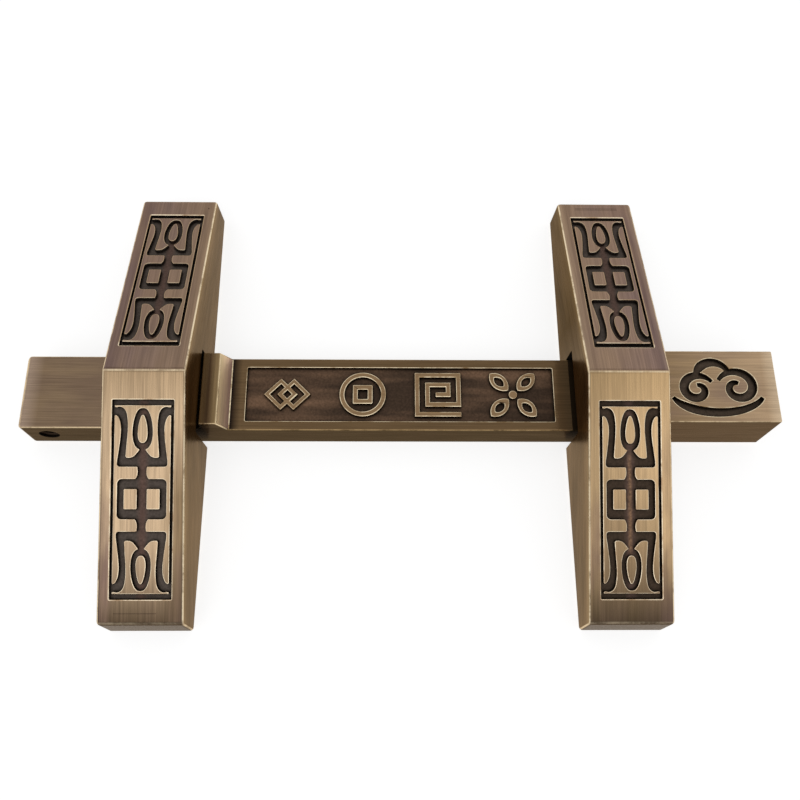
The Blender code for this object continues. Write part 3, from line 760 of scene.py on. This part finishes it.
def drill(piece, name, radius, depth, mouth, turn, material):
    """Drills a blind hole from its mouth."""
    bpy.ops.object.select_all(action="DESELECT")
    bpy.ops.mesh.primitive_cylinder_add(vertices=48, radius=radius, depth=depth + OVERRUN)
    cutter = bpy.context.active_object
    cutter.name = name
    give_slots(cutter, [material])
    open_piece(cutter)
    bpy.ops.mesh.select_all(action="SELECT")
    bpy.ops.transform.translate(value=(0, 0, (depth - OVERRUN) / 2))
    close_piece()
    cutter.matrix_world = Matrix.Translation(mouth) @ turn
    bpy.ops.object.transform_apply(location=True, rotation=True, scale=True)
    return cut(piece, cutter)


for side in (-1, 1):
    mouth = (0, side * SCREW_HOLE_SPACING / 2, 0)
    drill(casting, "screw_hole", SCREW_HOLE_RADIUS, SCREW_HOLE_DEPTH, mouth, Matrix.Identity(4), hole_dark)
print("Drilled two holes", SCREW_HOLE_SPACING * 1000, "mm apart")

# %% [markdown]
# Each slope has a sunk panel, 48.7 mm long and 15.1 mm wide. In its own frame the slope is flat, with X
# across it, Y away from the ridge and Z out of it. A matrix takes what is made there to its place.

# %% Bracket: sunk panels
PANEL_RIDGE_MARGIN = 0.0076
PANEL_LENGTH = 0.0487
PANEL_WIDTH = 0.0151
PANEL_DEPTH = 0.0009
PANEL_CORNER = 0.0002

panel_middle = PANEL_RIDGE_MARGIN + PANEL_LENGTH / 2


def panel_place(upward):
    """Matrix from a panel's own frame, with its middle at the origin, to its slope."""
    turn = Matrix.Identity(4) if upward else Matrix.Rotation(math.pi, 4, "Z")
    ridge = Matrix.Translation((0, 0, RIDGE_HEIGHT))
    return turn @ ridge @ Matrix.Rotation(-fall, 4, "X") @ Matrix.Translation((0, panel_middle, 0))


def settle(piece, place):
    """Moves a piece and puts its place into its mesh, so that its object stays at the origin."""
    only(piece)
    piece.matrix_world = place
    bpy.ops.object.transform_apply(location=True, rotation=True, scale=True)


def panel_cutter(name, low, high, material, corner, segments):
    """Block that a sunk panel is cut with, rounded at its four corners."""
    made = block(name, low, high)
    give_slots(made, [material])
    open_piece(made)
    pick(made, "EDGE", upright)
    bpy.ops.mesh.bevel(offset=corner, segments=segments, affect="EDGES")
    close_piece()
    return made


for upward in (True, False):
    sunk = panel_cutter("sunk_panel", (-PANEL_WIDTH / 2, -PANEL_LENGTH / 2, -PANEL_DEPTH),
                        (PANEL_WIDTH / 2, PANEL_LENGTH / 2, OVERRUN), casting_dark, PANEL_CORNER, 3)
    settle(sunk, panel_place(upward))
    cut(casting, sunk)
print("Sunk two panels", PANEL_DEPTH * 1000, "mm deep")

# %% [markdown]
# The rim of a panel is an edge too, bright as the outer ones are: partly wear, partly painted highlight. Its
# bevel is much narrower, 0.25 mm, so it only shows as a thin bright line.

# %% Bracket: rims
PANEL_RIM_RADIUS = 0.00025


def on_slope(v):
    """Whether a point lies on one of the two sloping faces."""
    off = (RIDGE_HEIGHT - abs(v.co.y) * math.tan(fall) - v.co.z) * math.cos(fall)
    return abs(off) < TINY


def in_panel(v):
    off_middle = abs(abs(v.co.y) / math.cos(fall) - panel_middle)
    return abs(v.co.x) < PANEL_WIDTH / 2 + TINY and off_middle < PANEL_LENGTH / 2 + TINY


open_piece(casting)
count = pick(casting, "EDGE", lambda e: convex(e) and all(on_slope(v) and in_panel(v) for v in e.verts))
bpy.ops.mesh.bevel(offset=PANEL_RIM_RADIUS, segments=3, affect="EDGES", material=1, clamp_overlap=False)
close_piece()
print("Rims of", count, "edges")

# %% [markdown]
# The ornament on the panels is a traditional fretwork that stands up to the height of the slope. Each of its
# islands is one closed outline, mirrored about the panel's middle. A pattern maker would draw it so: straight
# lines with arcs at the corners, smooth curves through a few points, and eggs. They are in millimetres.

# %% Outlines with round corners
ARC_STEP = math.radians(9)


def rounded(corners):
    """Closed outline through corners given as x, y and radius, with an arc where the radius isn't 0."""
    outline = []
    count = len(corners)
    for i, (x, y, radius) in enumerate(corners):
        here = Vector((x, y))
        back = Vector(corners[i - 1][:2]) - here
        ahead = Vector(corners[(i + 1) % count][:2]) - here
        turn = math.pi - back.angle(ahead)
        if radius <= 0 or turn < 0.02:
            outline.append((x, y))
            continue
        reach = min(radius * math.tan(turn / 2), 0.45 * back.length, 0.45 * ahead.length)
        start = here + back.normalized() * reach
        end = here + ahead.normalized() * reach
        steps = max(1, round(turn / ARC_STEP))
        arc_radius = reach / math.tan(turn / 2)
        inward = (back.normalized() + ahead.normalized()).normalized()
        middle = here + inward * math.hypot(arc_radius, reach)
        sweep = (start - middle).angle_signed(end - middle)
        for k in range(steps + 1):
            spoke = (start - middle).copy()
            spoke.rotate(Matrix.Rotation(-sweep * k / steps, 2))
            outline.append(tuple(middle + spoke))
    return outline


def flowing(points, steps=4):
    """Smooth curve through points, with its first and last point kept."""
    line = []
    padded = [points[0]] + points + [points[-1]]
    for a, b, c, d in zip(padded, padded[1:], padded[2:], padded[3:]):
        a, b, c, d = (Vector(point) for point in (a, b, c, d))
        for k in range(steps):
            t = k / steps
            bend = (2 * a - 5 * b + 4 * c - d) * (t * t / 2) + (3 * b - a - 3 * c + d) * (t * t * t / 2)
            line.append(tuple(b + (c - a) * (t / 2) + bend))
    return line + [points[-1]]


def egg(half_width, half_length, centre, fullness, roundness, start, count):
    """Egg, fuller towards the panel's middle, from the turn start round to the same turn short of closing."""
    sweep = 2 * math.pi - 2 * start
    outline = []
    for k in range(count + 1):
        turn = start + sweep * k / count
        across = math.copysign(abs(math.sin(turn)) ** roundness, math.sin(turn))
        fuller = 1 + fullness * math.cos(turn)
        outline.append((half_width * across * fuller, centre - half_length * math.cos(turn)))
    return outline


def end_island():
    """Island at the panel's end: it surrounds the loop and reaches down to the neck on both sides."""
    edge = [(6.95, 23.03), (6.9, 22.52)]
    edge += flowing([(6.4, 22.47), (5.6, 22.6), (4.72, 22.2), (4.12, 21.3), (3.83, 20.0), (3.68, 18.0),
                     (3.75, 15.7), (3.97, 13.0), (4.15, 10.45)])
    edge += flowing([(3.9, 10.1), (2.95, 10.08), (2.05, 10.45), (1.35, 11.2), (0.74, 12.0)], 3)
    loop = egg(2.42, 5.07, 17.2, 0.13, 0.75, 0.18, 40)
    return edge + loop + [(-x, y) for x, y in reversed(edge)]


def side_island():
    """Island down one side of the panel, with two bands that reach in to the spine."""
    edge = flowing([(6.68, 20.65), (6.12, 20.3), (5.6, 19.3), (5.33, 18.0), (5.27, 16.5), (5.38, 14.9),
                    (5.6, 13.0), (5.87, 11.0), (6.1, 9.5)])
    band_end = flowing([(1.02, 6.8), (1.1, 5.9), (1.4, 5.15)])
    half = rounded([(6.95, 0.0, 0), (6.95, 20.4, 0)] + [(x, y, 0) for x, y in edge]
                   + [(6.15, 7.95, 0.8), (1.14, 7.95, 0.3)] + [(x, y, 0) for x, y in band_end]
                   + [(1.65, 4.87, 0), (6.0, 4.87, 1.1), (6.0, 0.0, 0)])[1:-1]
    return half + [(x, -y) for x, y in reversed(half)]


teardrop = egg(1.2, 3.5, 17.2, 0.30, 0.85, 0.0, 36)[:-1]
window = rounded([(1.18, -2.5, 0.3), (4.42, -2.5, 0.3), (4.42, 2.5, 0.3), (1.18, 2.5, 0.3)])
print("End island of", len(end_island()), "points, side island of", len(side_island()))

# %% [markdown]
# A filled flat curve becomes a mesh, and an extrusion gives it its height. A raised shape's foot stands a
# little under the panel's floor. Its upper edge is bevelled by 0.17 mm, which gives the bright rim, partly
# wear and partly painted highlight, and its walls get the dark layer.

# %% Bracket: the raised ornament
FOOT = 0.0003
RIM_RADIUS = 0.00017


def filled(name, outlines):
    """Flat mesh inside closed outlines in millimetres; an outline inside another is a hole in it."""
    drawing = bpy.data.curves.new(name, "CURVE")
    drawing.dimensions = "2D"
    drawing.fill_mode = "BOTH"
    for outline in outlines:
        line = drawing.splines.new("POLY")
        line.points.add(len(outline) - 1)
        for point, (x, y) in zip(line.points, outline):
            point.co = (x / 1000, y / 1000, 0.0, 1.0)
        line.use_cyclic_u = True
    made = bpy.data.objects.new(name, drawing)
    bpy.context.scene.collection.objects.link(made)
    only(made)
    bpy.ops.object.convert(target="MESH")
    return bpy.context.active_object


def extruded(name, outlines, low, high, materials):
    """Solid with closed outlines in millimetres, from one height to another in metres."""
    made = filled(name, outlines)
    give_slots(made, materials)
    open_piece(made)
    bpy.ops.mesh.select_all(action="SELECT")
    bpy.ops.mesh.remove_doubles(threshold=0.000002)
    bpy.ops.mesh.dissolve_limited(angle_limit=0.01)
    bpy.ops.mesh.select_all(action="SELECT")
    bpy.ops.transform.translate(value=(0, 0, low))
    bpy.ops.mesh.extrude_region_move(TRANSFORM_OT_translate={"value": (0, 0, high - low)})
    bpy.ops.mesh.select_all(action="SELECT")
    bpy.ops.mesh.normals_make_consistent(inside=False)
    close_piece()
    return made


def raised(name, outlines, depth, materials, rim=RIM_RADIUS):
    """Solid that stands from under the floor of a sunk panel up to the face round it."""
    made = extruded(name, outlines, -depth - FOOT, 0, materials)
    open_piece(made)
    pick(made, "EDGE", lambda e: convex(e) and level_at(e, 0))
    bpy.ops.mesh.bevel(offset=rim, segments=2, affect="EDGES", material=1, clamp_overlap=False)
    close_piece()
    paint(made, lambda f: f.calc_center_median().z < -rim - TINY, 2)
    return made


def join_to(piece, others):
    only(piece)
    for other in others:
        other.select_set(True)
    bpy.ops.object.join()


bracket_slots = [casting_brass, casting_rim, casting_dark]
islands = []
for upward in (True, False):
    for turn in (1, -1):
        shapes = [
            [[(x * turn, y) for x, y in side_island()], [(x * turn, y) for x, y in window]],
            [[(x, y * turn) for x, y in end_island()]],
            [[(x, y * turn) for x, y in teardrop]],
        ]
        for outlines in shapes:
            island = raised("ornament", outlines, PANEL_DEPTH, bracket_slots)
            settle(island, panel_place(upward))
            islands.append(island)
join_to(casting, islands)
print("Bracket with its ornament has", len(casting.data.polygons), "faces")

# %% [markdown]
# The bracket is done. Smooth shading by angle keeps the flat faces flat and lets the small bevels turn
# softly, and weighted normals give the large faces the say where they meet a bevel. A copy with its own mesh
# is the second bracket, and both go to their places along the bar.

# %% Both brackets in place
def smooth(piece):
    only(piece)
    bpy.ops.object.shade_smooth_by_angle(angle=math.radians(35))
    step = piece.modifiers.new("weighted_normals", "WEIGHTED_NORMAL")
    step.keep_sharp = True
    bpy.ops.object.modifier_apply(modifier=step.name)


smooth(casting)
right = bpy.data.objects.new("visual_right_bracket", casting.data.copy())
bpy.context.scene.collection.objects.link(right)
casting.name = "visual_left_bracket"
for piece, x, solid in ((casting, LEFT_BRACKET_X, "left_bracket"), (right, RIGHT_BRACKET_X, "right_bracket")):
    settle(piece, Matrix.Translation((x, 0, 0)))
    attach(piece, "brackets")
    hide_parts(solid)
print("Brackets at", LEFT_BRACKET_X * 1000, "and", RIGHT_BRACKET_X * 1000, "mm")

# %% [markdown]
# The bar starts as a block as high as the waist. Cuts across it mark the steps, and the tops of the higher
# parts are extruded up from there. The block's end towards the waist slopes down: all that stands above the
# waist there is pressed flat to the waist's height.

# %% Bar: the steps
bar = block("visual_bolt_bar", (-BAR_LENGTH / 2, -BAR_WIDTH / 2, 0),
            (BAR_LENGTH / 2, BAR_WIDTH / 2, WAIST_HEIGHT))
bar_slots = [sliding_brass, bar_rim, bar_dark, rubbed_and_highlight_slope]
give_slots(bar, bar_slots)
open_piece(bar)
for x in (BLOCK_START, BLOCK_END, WAIST_START, HEAD_START):
    bpy.ops.mesh.select_all(action="SELECT")
    bpy.ops.mesh.bisect(plane_co=(x, 0, 0), plane_no=(1, 0, 0))


def lift(first, last, low, high):
    """Extrudes the top faces between two places along the bar from one height to another."""
    pick(bar, "FACE", lambda f: f.normal.z > 0.9 and near(f.calc_center_median().z, low)
         and first < f.calc_center_median().x < last)
    bpy.ops.mesh.extrude_region_move(TRANSFORM_OT_translate={"value": (0, 0, high - low)})


lift(-BAR_LENGTH, WAIST_START, WAIST_HEIGHT, TAIL_HEIGHT)
lift(BLOCK_START, WAIST_START, TAIL_HEIGHT, BLOCK_HEIGHT)
lift(HEAD_START, BAR_LENGTH, WAIST_HEIGHT, HEAD_HEIGHT)
pick(bar, "VERT", lambda v: near(v.co.x, WAIST_START) and v.co.z > WAIST_HEIGHT - TINY)
bpy.ops.transform.resize(value=(1, 1, 0), center_override=(0, 0, WAIST_HEIGHT))
bpy.ops.mesh.select_all(action="SELECT")
bpy.ops.mesh.remove_doubles(threshold=0.000002)
for height in (WAIST_HEIGHT, TAIL_HEIGHT, BLOCK_HEIGHT, HEAD_HEIGHT):
    pick(bar, "VERT", lambda v: near(v.co.z, height))
    narrowing = 1 - 2 * BAR_LEAN * height / BAR_WIDTH
    bpy.ops.transform.resize(value=(1, narrowing, 1), center_override=(0, 0, 0))
bpy.ops.mesh.select_all(action="SELECT")
bpy.ops.mesh.normals_make_consistent(inside=False)
bpy.ops.mesh.dissolve_limited(angle_limit=0.005)
close_piece()
print("Stepped bar of", len(bar.data.polygons), "faces")

# %% [markdown]
# The bar's arrises are sharper than the brackets', 0.4 mm, but its tail end was rounded to 1.3 mm so that it
# finds its way into a notch. The block's slope gets its rubbed brass with its painted highlight. At its foot a
# fillet of 0.2 mm, as a casting needs there, runs across the bar in the bright rim brass, partly a painted
# highlight.

# %% Bar: rounded arrises
BAR_ARRIS_RADIUS = 0.0004
TAIL_NOSE_RADIUS = 0.0013
SLOPE_FOOT_RADIUS = 0.0002

open_piece(bar)
pick(bar, "EDGE", lambda e: convex(e) and all(near(v.co.x, -BAR_LENGTH / 2) for v in e.verts))
bpy.ops.mesh.bevel(offset=TAIL_NOSE_RADIUS, segments=6, affect="EDGES")
count = pick(bar, "EDGE", lambda e: convex(e) and e.calc_face_angle_signed(0.0) > math.radians(50))
bpy.ops.mesh.bevel(offset=BAR_ARRIS_RADIUS, segments=4, affect="EDGES", clamp_overlap=True)
close_piece()
paint(bar, lambda f: 0.8 < f.normal.x < 0.95 and f.normal.z > 0.4 and f.calc_area() > 0.00001, 3)
open_piece(bar)
pick(bar, "EDGE", lambda e: e.calc_length() > 0.01 and level_at(e, WAIST_HEIGHT)
     and all(near(v.co.x, WAIST_START) for v in e.verts))
bpy.ops.mesh.bevel(offset=SLOPE_FOOT_RADIUS, segments=3, affect="EDGES", material=1, clamp_overlap=True)
close_piece()
print("Rounded", count, "arrises of the bar")

# %% [markdown]
# The waist has a sunk panel with four raised motifs: two linked lozenges, a coin with a square hole, a square
# spiral fret and a rosette of four hollow petals. All are traditional door ornaments. They are of like size,
# and their strokes are a little over a millimetre wide.

# %% Bar: drawing the motifs
MOTIF_SIZE = 12.6
MOTIF_STROKE = 1.4
LOZENGE_SHIFT = 1.75
LOZENGE_STROKE = 1.2
COIN_HOLE = 2.6
PETAL_START = 1.7
PETAL_LENGTH = 7.0
PETAL_WIDTH = 4.2
PETAL_RIM = 1.1
ROSETTE_EYE_RADIUS = 1.2


def circle(radius):
    turns = [math.pi * k / 32 for k in range(64)]
    return [(radius * math.cos(turn), radius * math.sin(turn)) for turn in turns]


def square(side, radius):
    half = side / 2
    corners = ((-half, -half), (half, -half), (half, half), (-half, half))
    return rounded([(x, y, radius) for x, y in corners])


def lozenges():
    half = MOTIF_SIZE / 2 - LOZENGE_SHIFT
    inner = half - LOZENGE_STROKE * math.sqrt(2)
    tip = half - LOZENGE_SHIFT
    meet_x = (half - inner) / 2
    meet_y = (half + inner) / 2 - LOZENGE_SHIFT
    middle = inner - LOZENGE_SHIFT
    outlines = [
        [(-half - LOZENGE_SHIFT, 0), (-LOZENGE_SHIFT, half), (0, tip), (LOZENGE_SHIFT, half),
         (half + LOZENGE_SHIFT, 0), (LOZENGE_SHIFT, -half), (0, -tip), (-LOZENGE_SHIFT, -half)],
        [(-middle, 0), (0, middle), (middle, 0), (0, -middle)],
    ]
    for side in (1, -1):
        outlines.append([
            (side * (LOZENGE_SHIFT + inner), 0), (side * LOZENGE_SHIFT, inner), (side * meet_x, meet_y),
            (side * tip, 0), (side * meet_x, -meet_y), (side * LOZENGE_SHIFT, -inner)])
    return [outlines]


def coin():
    outer = MOTIF_SIZE / 2
    return [[circle(outer), circle(outer - MOTIF_STROKE)],
            [square(COIN_HOLE + 2 * MOTIF_STROKE, 0.3), square(COIN_HOLE, 0.15)]]


def ribbon(line, width):
    """Band of one width along a line of points, with square ends and mitred corners."""
    points = [Vector(point) for point in line]
    legs = [(b - a).normalized() for a, b in zip(points, points[1:])]
    left, right_side = [], []
    for i, point in enumerate(points):
        before = legs[max(i - 1, 0)]
        after = legs[min(i, len(legs) - 1)]
        across = Vector((-before.y - after.y, before.x + after.x)).normalized()
        reach = width / 2 / across.dot(Vector((-after.y, after.x)))
        extend = (0.0 if 0 < i < len(points) - 1 else width / 2) * (-1 if i == 0 else 1)
        left.append(tuple(point + across * reach + after * extend))
        right_side.append(tuple(point - across * reach + after * extend))
    return left + right_side[::-1]


def fret():
    out = (MOTIF_SIZE - MOTIF_STROKE) / 2
    step = out / 2
    turn = out - step
    line = [(out, -out), (-out, -out), (-out, out), (out, out), (out, -turn), (-turn, -turn), (-turn, turn),
            (turn, turn), (turn, 0), (0, 0)]
    return [[ribbon(line, MOTIF_STROKE)]]


def petal(turn, start, length, width):
    half_turn = 2 * math.atan(width / length)
    radius = length / 2 / math.sin(half_turn)
    outline = []
    for side in (1, -1):
        for k in range(14):
            at = half_turn * (1 - 2 * k / 14)
            off = radius * (math.cos(at) - math.cos(half_turn))
            outline.append(Vector((-side * radius * math.sin(at) + start + length / 2, side * off)))
    turned = Matrix.Rotation(turn, 2)
    return [tuple(turned @ point) for point in outline]


def rosette():
    shapes = [[circle(ROSETTE_EYE_RADIUS)]]
    rim = PETAL_RIM * PETAL_LENGTH / PETAL_WIDTH
    for k in range(4):
        turn = math.pi / 4 + k * math.pi / 2
        shapes.append([petal(turn, PETAL_START, PETAL_LENGTH, PETAL_WIDTH),
                       petal(turn, PETAL_START + rim, PETAL_LENGTH - 2 * rim, PETAL_WIDTH - 2 * PETAL_RIM)])
    return shapes


print("Motifs", MOTIF_SIZE, "mm across with strokes of", MOTIF_STROKE, "mm")

# %% [markdown]
# The panel is cut as the brackets' panels were, and the motifs stand in it at equal steps. They lie where a
# hand slides the bar, so their bright rims, partly wear and partly painted highlight, are a little wider than
# the ornament's, 0.24 mm.

# %% Bar: the panel of the waist
WAIST_PANEL_DEPTH = 0.0009
WAIST_PANEL_CORNER = 0.0003
MOTIF_END_MARGIN = 0.0047
MOTIF_RIM_RADIUS = 0.00024

panel_low = (WAIST_PANEL_START, -WAIST_PANEL_WIDTH / 2, WAIST_HEIGHT - WAIST_PANEL_DEPTH)
panel_high = (WAIST_PANEL_START + WAIST_PANEL_LENGTH, WAIST_PANEL_WIDTH / 2, WAIST_HEIGHT + OVERRUN)
cut(bar, panel_cutter("waist_panel", panel_low, panel_high, bar_dark, WAIST_PANEL_CORNER, 2))


def in_waist_panel(v):
    return (abs(v.co.x - panel_centre) < WAIST_PANEL_LENGTH / 2 + TINY
            and abs(v.co.y) < WAIST_PANEL_WIDTH / 2 + TINY)


open_piece(bar)
pick(bar, "EDGE", lambda e: convex(e) and level_at(e, WAIST_HEIGHT)
     and all(in_waist_panel(v) for v in e.verts))
bpy.ops.mesh.bevel(offset=RIM_RADIUS, segments=2, affect="EDGES", material=1, clamp_overlap=False)
close_piece()

motifs = [lozenges(), coin(), fret(), rosette()]
first_motif = MOTIF_END_MARGIN + MOTIF_SIZE / 2000 - WAIST_PANEL_LENGTH / 2
standing = []
for k, shapes in enumerate(motifs):
    x = panel_centre + first_motif * (1 - 2 * k / (len(motifs) - 1))
    for outlines in shapes:
        shape = raised("motif", outlines, WAIST_PANEL_DEPTH, bar_slots, MOTIF_RIM_RADIUS)
        settle(shape, Matrix.Translation((x, 0, WAIST_HEIGHT)))
        standing.append(shape)
print("Raised", len(standing), "shapes in the waist's panel")

# %% [markdown]
# A cloud is engraved in the head, in strokes that swell and thin out like a brush's. Each stroke is a line
# with an outline round it, extruded into a cutter. The engraving is 1.1 mm deep, and its rim is bright too,
# partly wear and partly painted highlight.

# %% Bar: the cloud on the head
CLOUD_DEPTH = 0.0011
CLOUD_LENGTH = 0.0245
CLOUD_END_MARGIN = 0.0038
CLOUD_CENTRE = BAR_LENGTH / 2 - CLOUD_END_MARGIN - CLOUD_LENGTH / 2
CLOUD_RIM_RADIUS = 0.00023
HEAD_MARGIN = 0.0010
SWELLING_SHARE = 0.3


def spiral(centre, outer, inner, start_deg, sweep_deg, count, squash=1.0):
    line = []
    for k in range(count + 1):
        share = k / count
        turn = math.radians(start_deg + sweep_deg * share)
        radius = outer + (inner - outer) * share
        line.append((centre[0] + radius * math.cos(turn), centre[1] + squash * radius * math.sin(turn)))
    return line


def brush_stroke(line, start_width, full_width, end_width):
    """Outline of a stroke that swells over its first part and thins out to its end."""
    left, right_side = [], []
    last = len(line) - 1
    for i, point in enumerate(line):
        ahead = (Vector(line[min(i + 1, last)]) - Vector(line[max(i - 1, 0)])).normalized()
        share = i / last
        if share < SWELLING_SHARE:
            width = start_width + (full_width - start_width) * math.sin(share / SWELLING_SHARE * math.pi / 2)
        else:
            thinning = (share - SWELLING_SHARE) / (1 - SWELLING_SHARE)
            width = full_width + (end_width - full_width) * thinning ** 2
        off = Vector((-ahead.y, ahead.x)) * width / 2
        left.append(tuple(Vector(point) + off))
        right_side.append(tuple(Vector(point) - off))
    return left + right_side[::-1]


strokes = [
    spiral((5.6, -0.4), 5.4, 1.3, 155, -435, 60, 0.92),
    spiral((-5.2, -0.9), 4.6, 1.2, 30, 415, 56, 0.92),
    spiral((-0.4, 2.0), 4.9, 4.5, 172, -150, 26),
    spiral((0.0, -1.4), 12.4, 12.4, 198, 144, 40, 0.48),
]
for line in strokes:
    groove = extruded("groove", [brush_stroke(line, 0.9, 2.4, 1.0)], -CLOUD_DEPTH, OVERRUN, [groove_dark])
    settle(groove, Matrix.Translation((CLOUD_CENTRE, 0, HEAD_HEIGHT)))
    cut(bar, groove)


def inside_head_arrises(v):
    return (HEAD_START + HEAD_MARGIN < v.co.x < BAR_LENGTH / 2 - HEAD_MARGIN
            and abs(v.co.y) < BAR_WIDTH / 2 - HEAD_MARGIN)


open_piece(bar)
count = pick(bar, "EDGE", lambda e: convex(e) and level_at(e, HEAD_HEIGHT)
             and all(inside_head_arrises(v) for v in e.verts))
bpy.ops.mesh.bevel(offset=CLOUD_RIM_RADIUS, segments=2, affect="EDGES", material=1, clamp_overlap=False)
close_piece()
print("Cloud's rim of", count, "edges")

# %% [markdown]
# The tail has a tapped hole in its lower side, for the knob that slides the bar. The drill goes in from the
# side, so its cutter is turned to point along +Y. Only the first turns of the thread can be seen. The wall is
# cut into rings half a pitch apart, and every second one is widened: they look like a thread and are
# simpler than a real helix.

# %% Bar: the hole in the tail
TAIL_HOLE_RADIUS = 0.00265
TAIL_HOLE_DEPTH = 0.0130
TAIL_HOLE_END_MARGIN = 0.0067
TAIL_HOLE_HEIGHT = 0.0059
THREAD_PITCH = 0.0010
THREAD_DEPTH = 0.0004
THREAD_START = 0.0004
THREAD_RINGS = 12

mouth = Vector((-BAR_LENGTH / 2 + TAIL_HOLE_END_MARGIN, -BAR_WIDTH / 2, TAIL_HOLE_HEIGHT))
inward = Matrix.Rotation(-math.pi / 2, 4, "X")
drill(bar, "tail_hole", TAIL_HOLE_RADIUS, TAIL_HOLE_DEPTH, mouth, inward, hole_dark)
open_piece(bar)


def in_tail_hole(v, reach=TINY):
    return near(math.hypot(v.co.x - mouth.x, v.co.z - mouth.z), TAIL_HOLE_RADIUS, reach)


rings = [mouth.y + THREAD_START + k * THREAD_PITCH / 2 for k in range(THREAD_RINGS)]
for y in rings:
    pick(bar, "FACE", lambda f: all(in_tail_hole(v) for v in f.verts))
    bpy.ops.mesh.bisect(plane_co=(0, y, 0), plane_no=(0, 1, 0))
wider = 1 + THREAD_DEPTH / TAIL_HOLE_RADIUS
for y in rings[1::2]:
    pick(bar, "VERT", lambda v: in_tail_hole(v) and near(v.co.y, y))
    bpy.ops.transform.resize(value=(wider, 1, wider), center_override=(mouth.x, y, mouth.z))
close_piece()
paint(bar, lambda f: f.normal.y < -0.3 and all(in_tail_hole(v, THREAD_DEPTH + TINY) for v in f.verts), 2)
print("Drilled the tail's hole,", TAIL_HOLE_DEPTH * 1000, "mm deep")

# %% [markdown]
# The bar's pieces are joined, shaded and put in place: 0.3 mm off the door and 0.7 mm above the middle of the
# notches.

# %% The bar in place
join_to(bar, standing)
smooth(bar)
settle(bar, Matrix.Translation((0, BAR_SHIFT, DOOR_CLEARANCE)))
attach(bar, "bar")
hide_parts("bolt_bar")
print("Bar has", len(bar.data.polygons), "faces")

# %% [markdown]
# The bolt lies on a plain white table. For the camera and for reflections the table glows a little too, so
# that it stays white while the soft shadow under the castings remains. The white room round it needs the same
# choice, so a function makes it.

# %% Table
def seen_directly(node):
    """1 for what the camera or a reflection sees, and 0 for the light that falls on things."""
    ray = node("LightPath").node.outputs
    seen = node(GREATER_OF, ray["Is Camera Ray"], ray["Is Glossy Ray"])
    return node(GREATER_OF, seen, ray["Is Transmission Ray"])


bpy.ops.object.select_all(action="DESELECT")
bpy.ops.mesh.primitive_plane_add(size=6.0, location=(0, 0, -0.0002))
table = bpy.context.active_object
table.name = "table"
white_paint = bpy.data.materials.new("matt_white_table")
white_paint.use_nodes = True
white_paint.node_tree.nodes.clear()
node = partial(add_node, white_paint.node_tree)
paint_layer = node("BsdfDiffuse", "#c8c8c8")
glow = node("Emission", Strength=node(TIMES, seen_directly(node), 0.74))
node("OutputMaterial", Surface=node("AddShader", paint_layer, glow))
table.data.materials.append(white_paint)
print("Table at", round(table.location.z * 1000, 1), "mm")

# %% [markdown]
# Soft studio light: a white room, and a large softbox over the front of the table that brightens the slopes
# towards the camera.

# %% Light
world = bpy.data.worlds.new("white_room")
bpy.context.scene.world = world
world.use_nodes = True
world.node_tree.nodes.clear()
node = partial(add_node, world.node_tree)
room_level = node("MapRange", seen_directly(node), 0.0, 1.0, 0.55, 1.0)
node("OutputWorld", Surface=node("Background", Strength=room_level))


def softbox(name, place, aim, size, power):
    lamp_data = bpy.data.lights.new(name, "AREA")
    lamp_data.shape = "SQUARE"
    lamp_data.size = size
    lamp_data.energy = power
    lamp = bpy.data.objects.new(name, lamp_data)
    bpy.context.scene.collection.objects.link(lamp)
    lamp.location = place
    lamp.rotation_euler = (Vector(aim) - Vector(place)).to_track_quat("-Z", "Y").to_euler()
    return lamp


softbox("softbox_over_front", (-0.1, -0.45, 0.85), (0, -0.02, 0), 0.7, 1.2)
print("One softbox and a white room")

# %% [markdown]
# Renders look best with plain colours here, so the view transform is Standard.

# %% Finish
bpy.context.scene.view_settings.view_transform = "Standard"
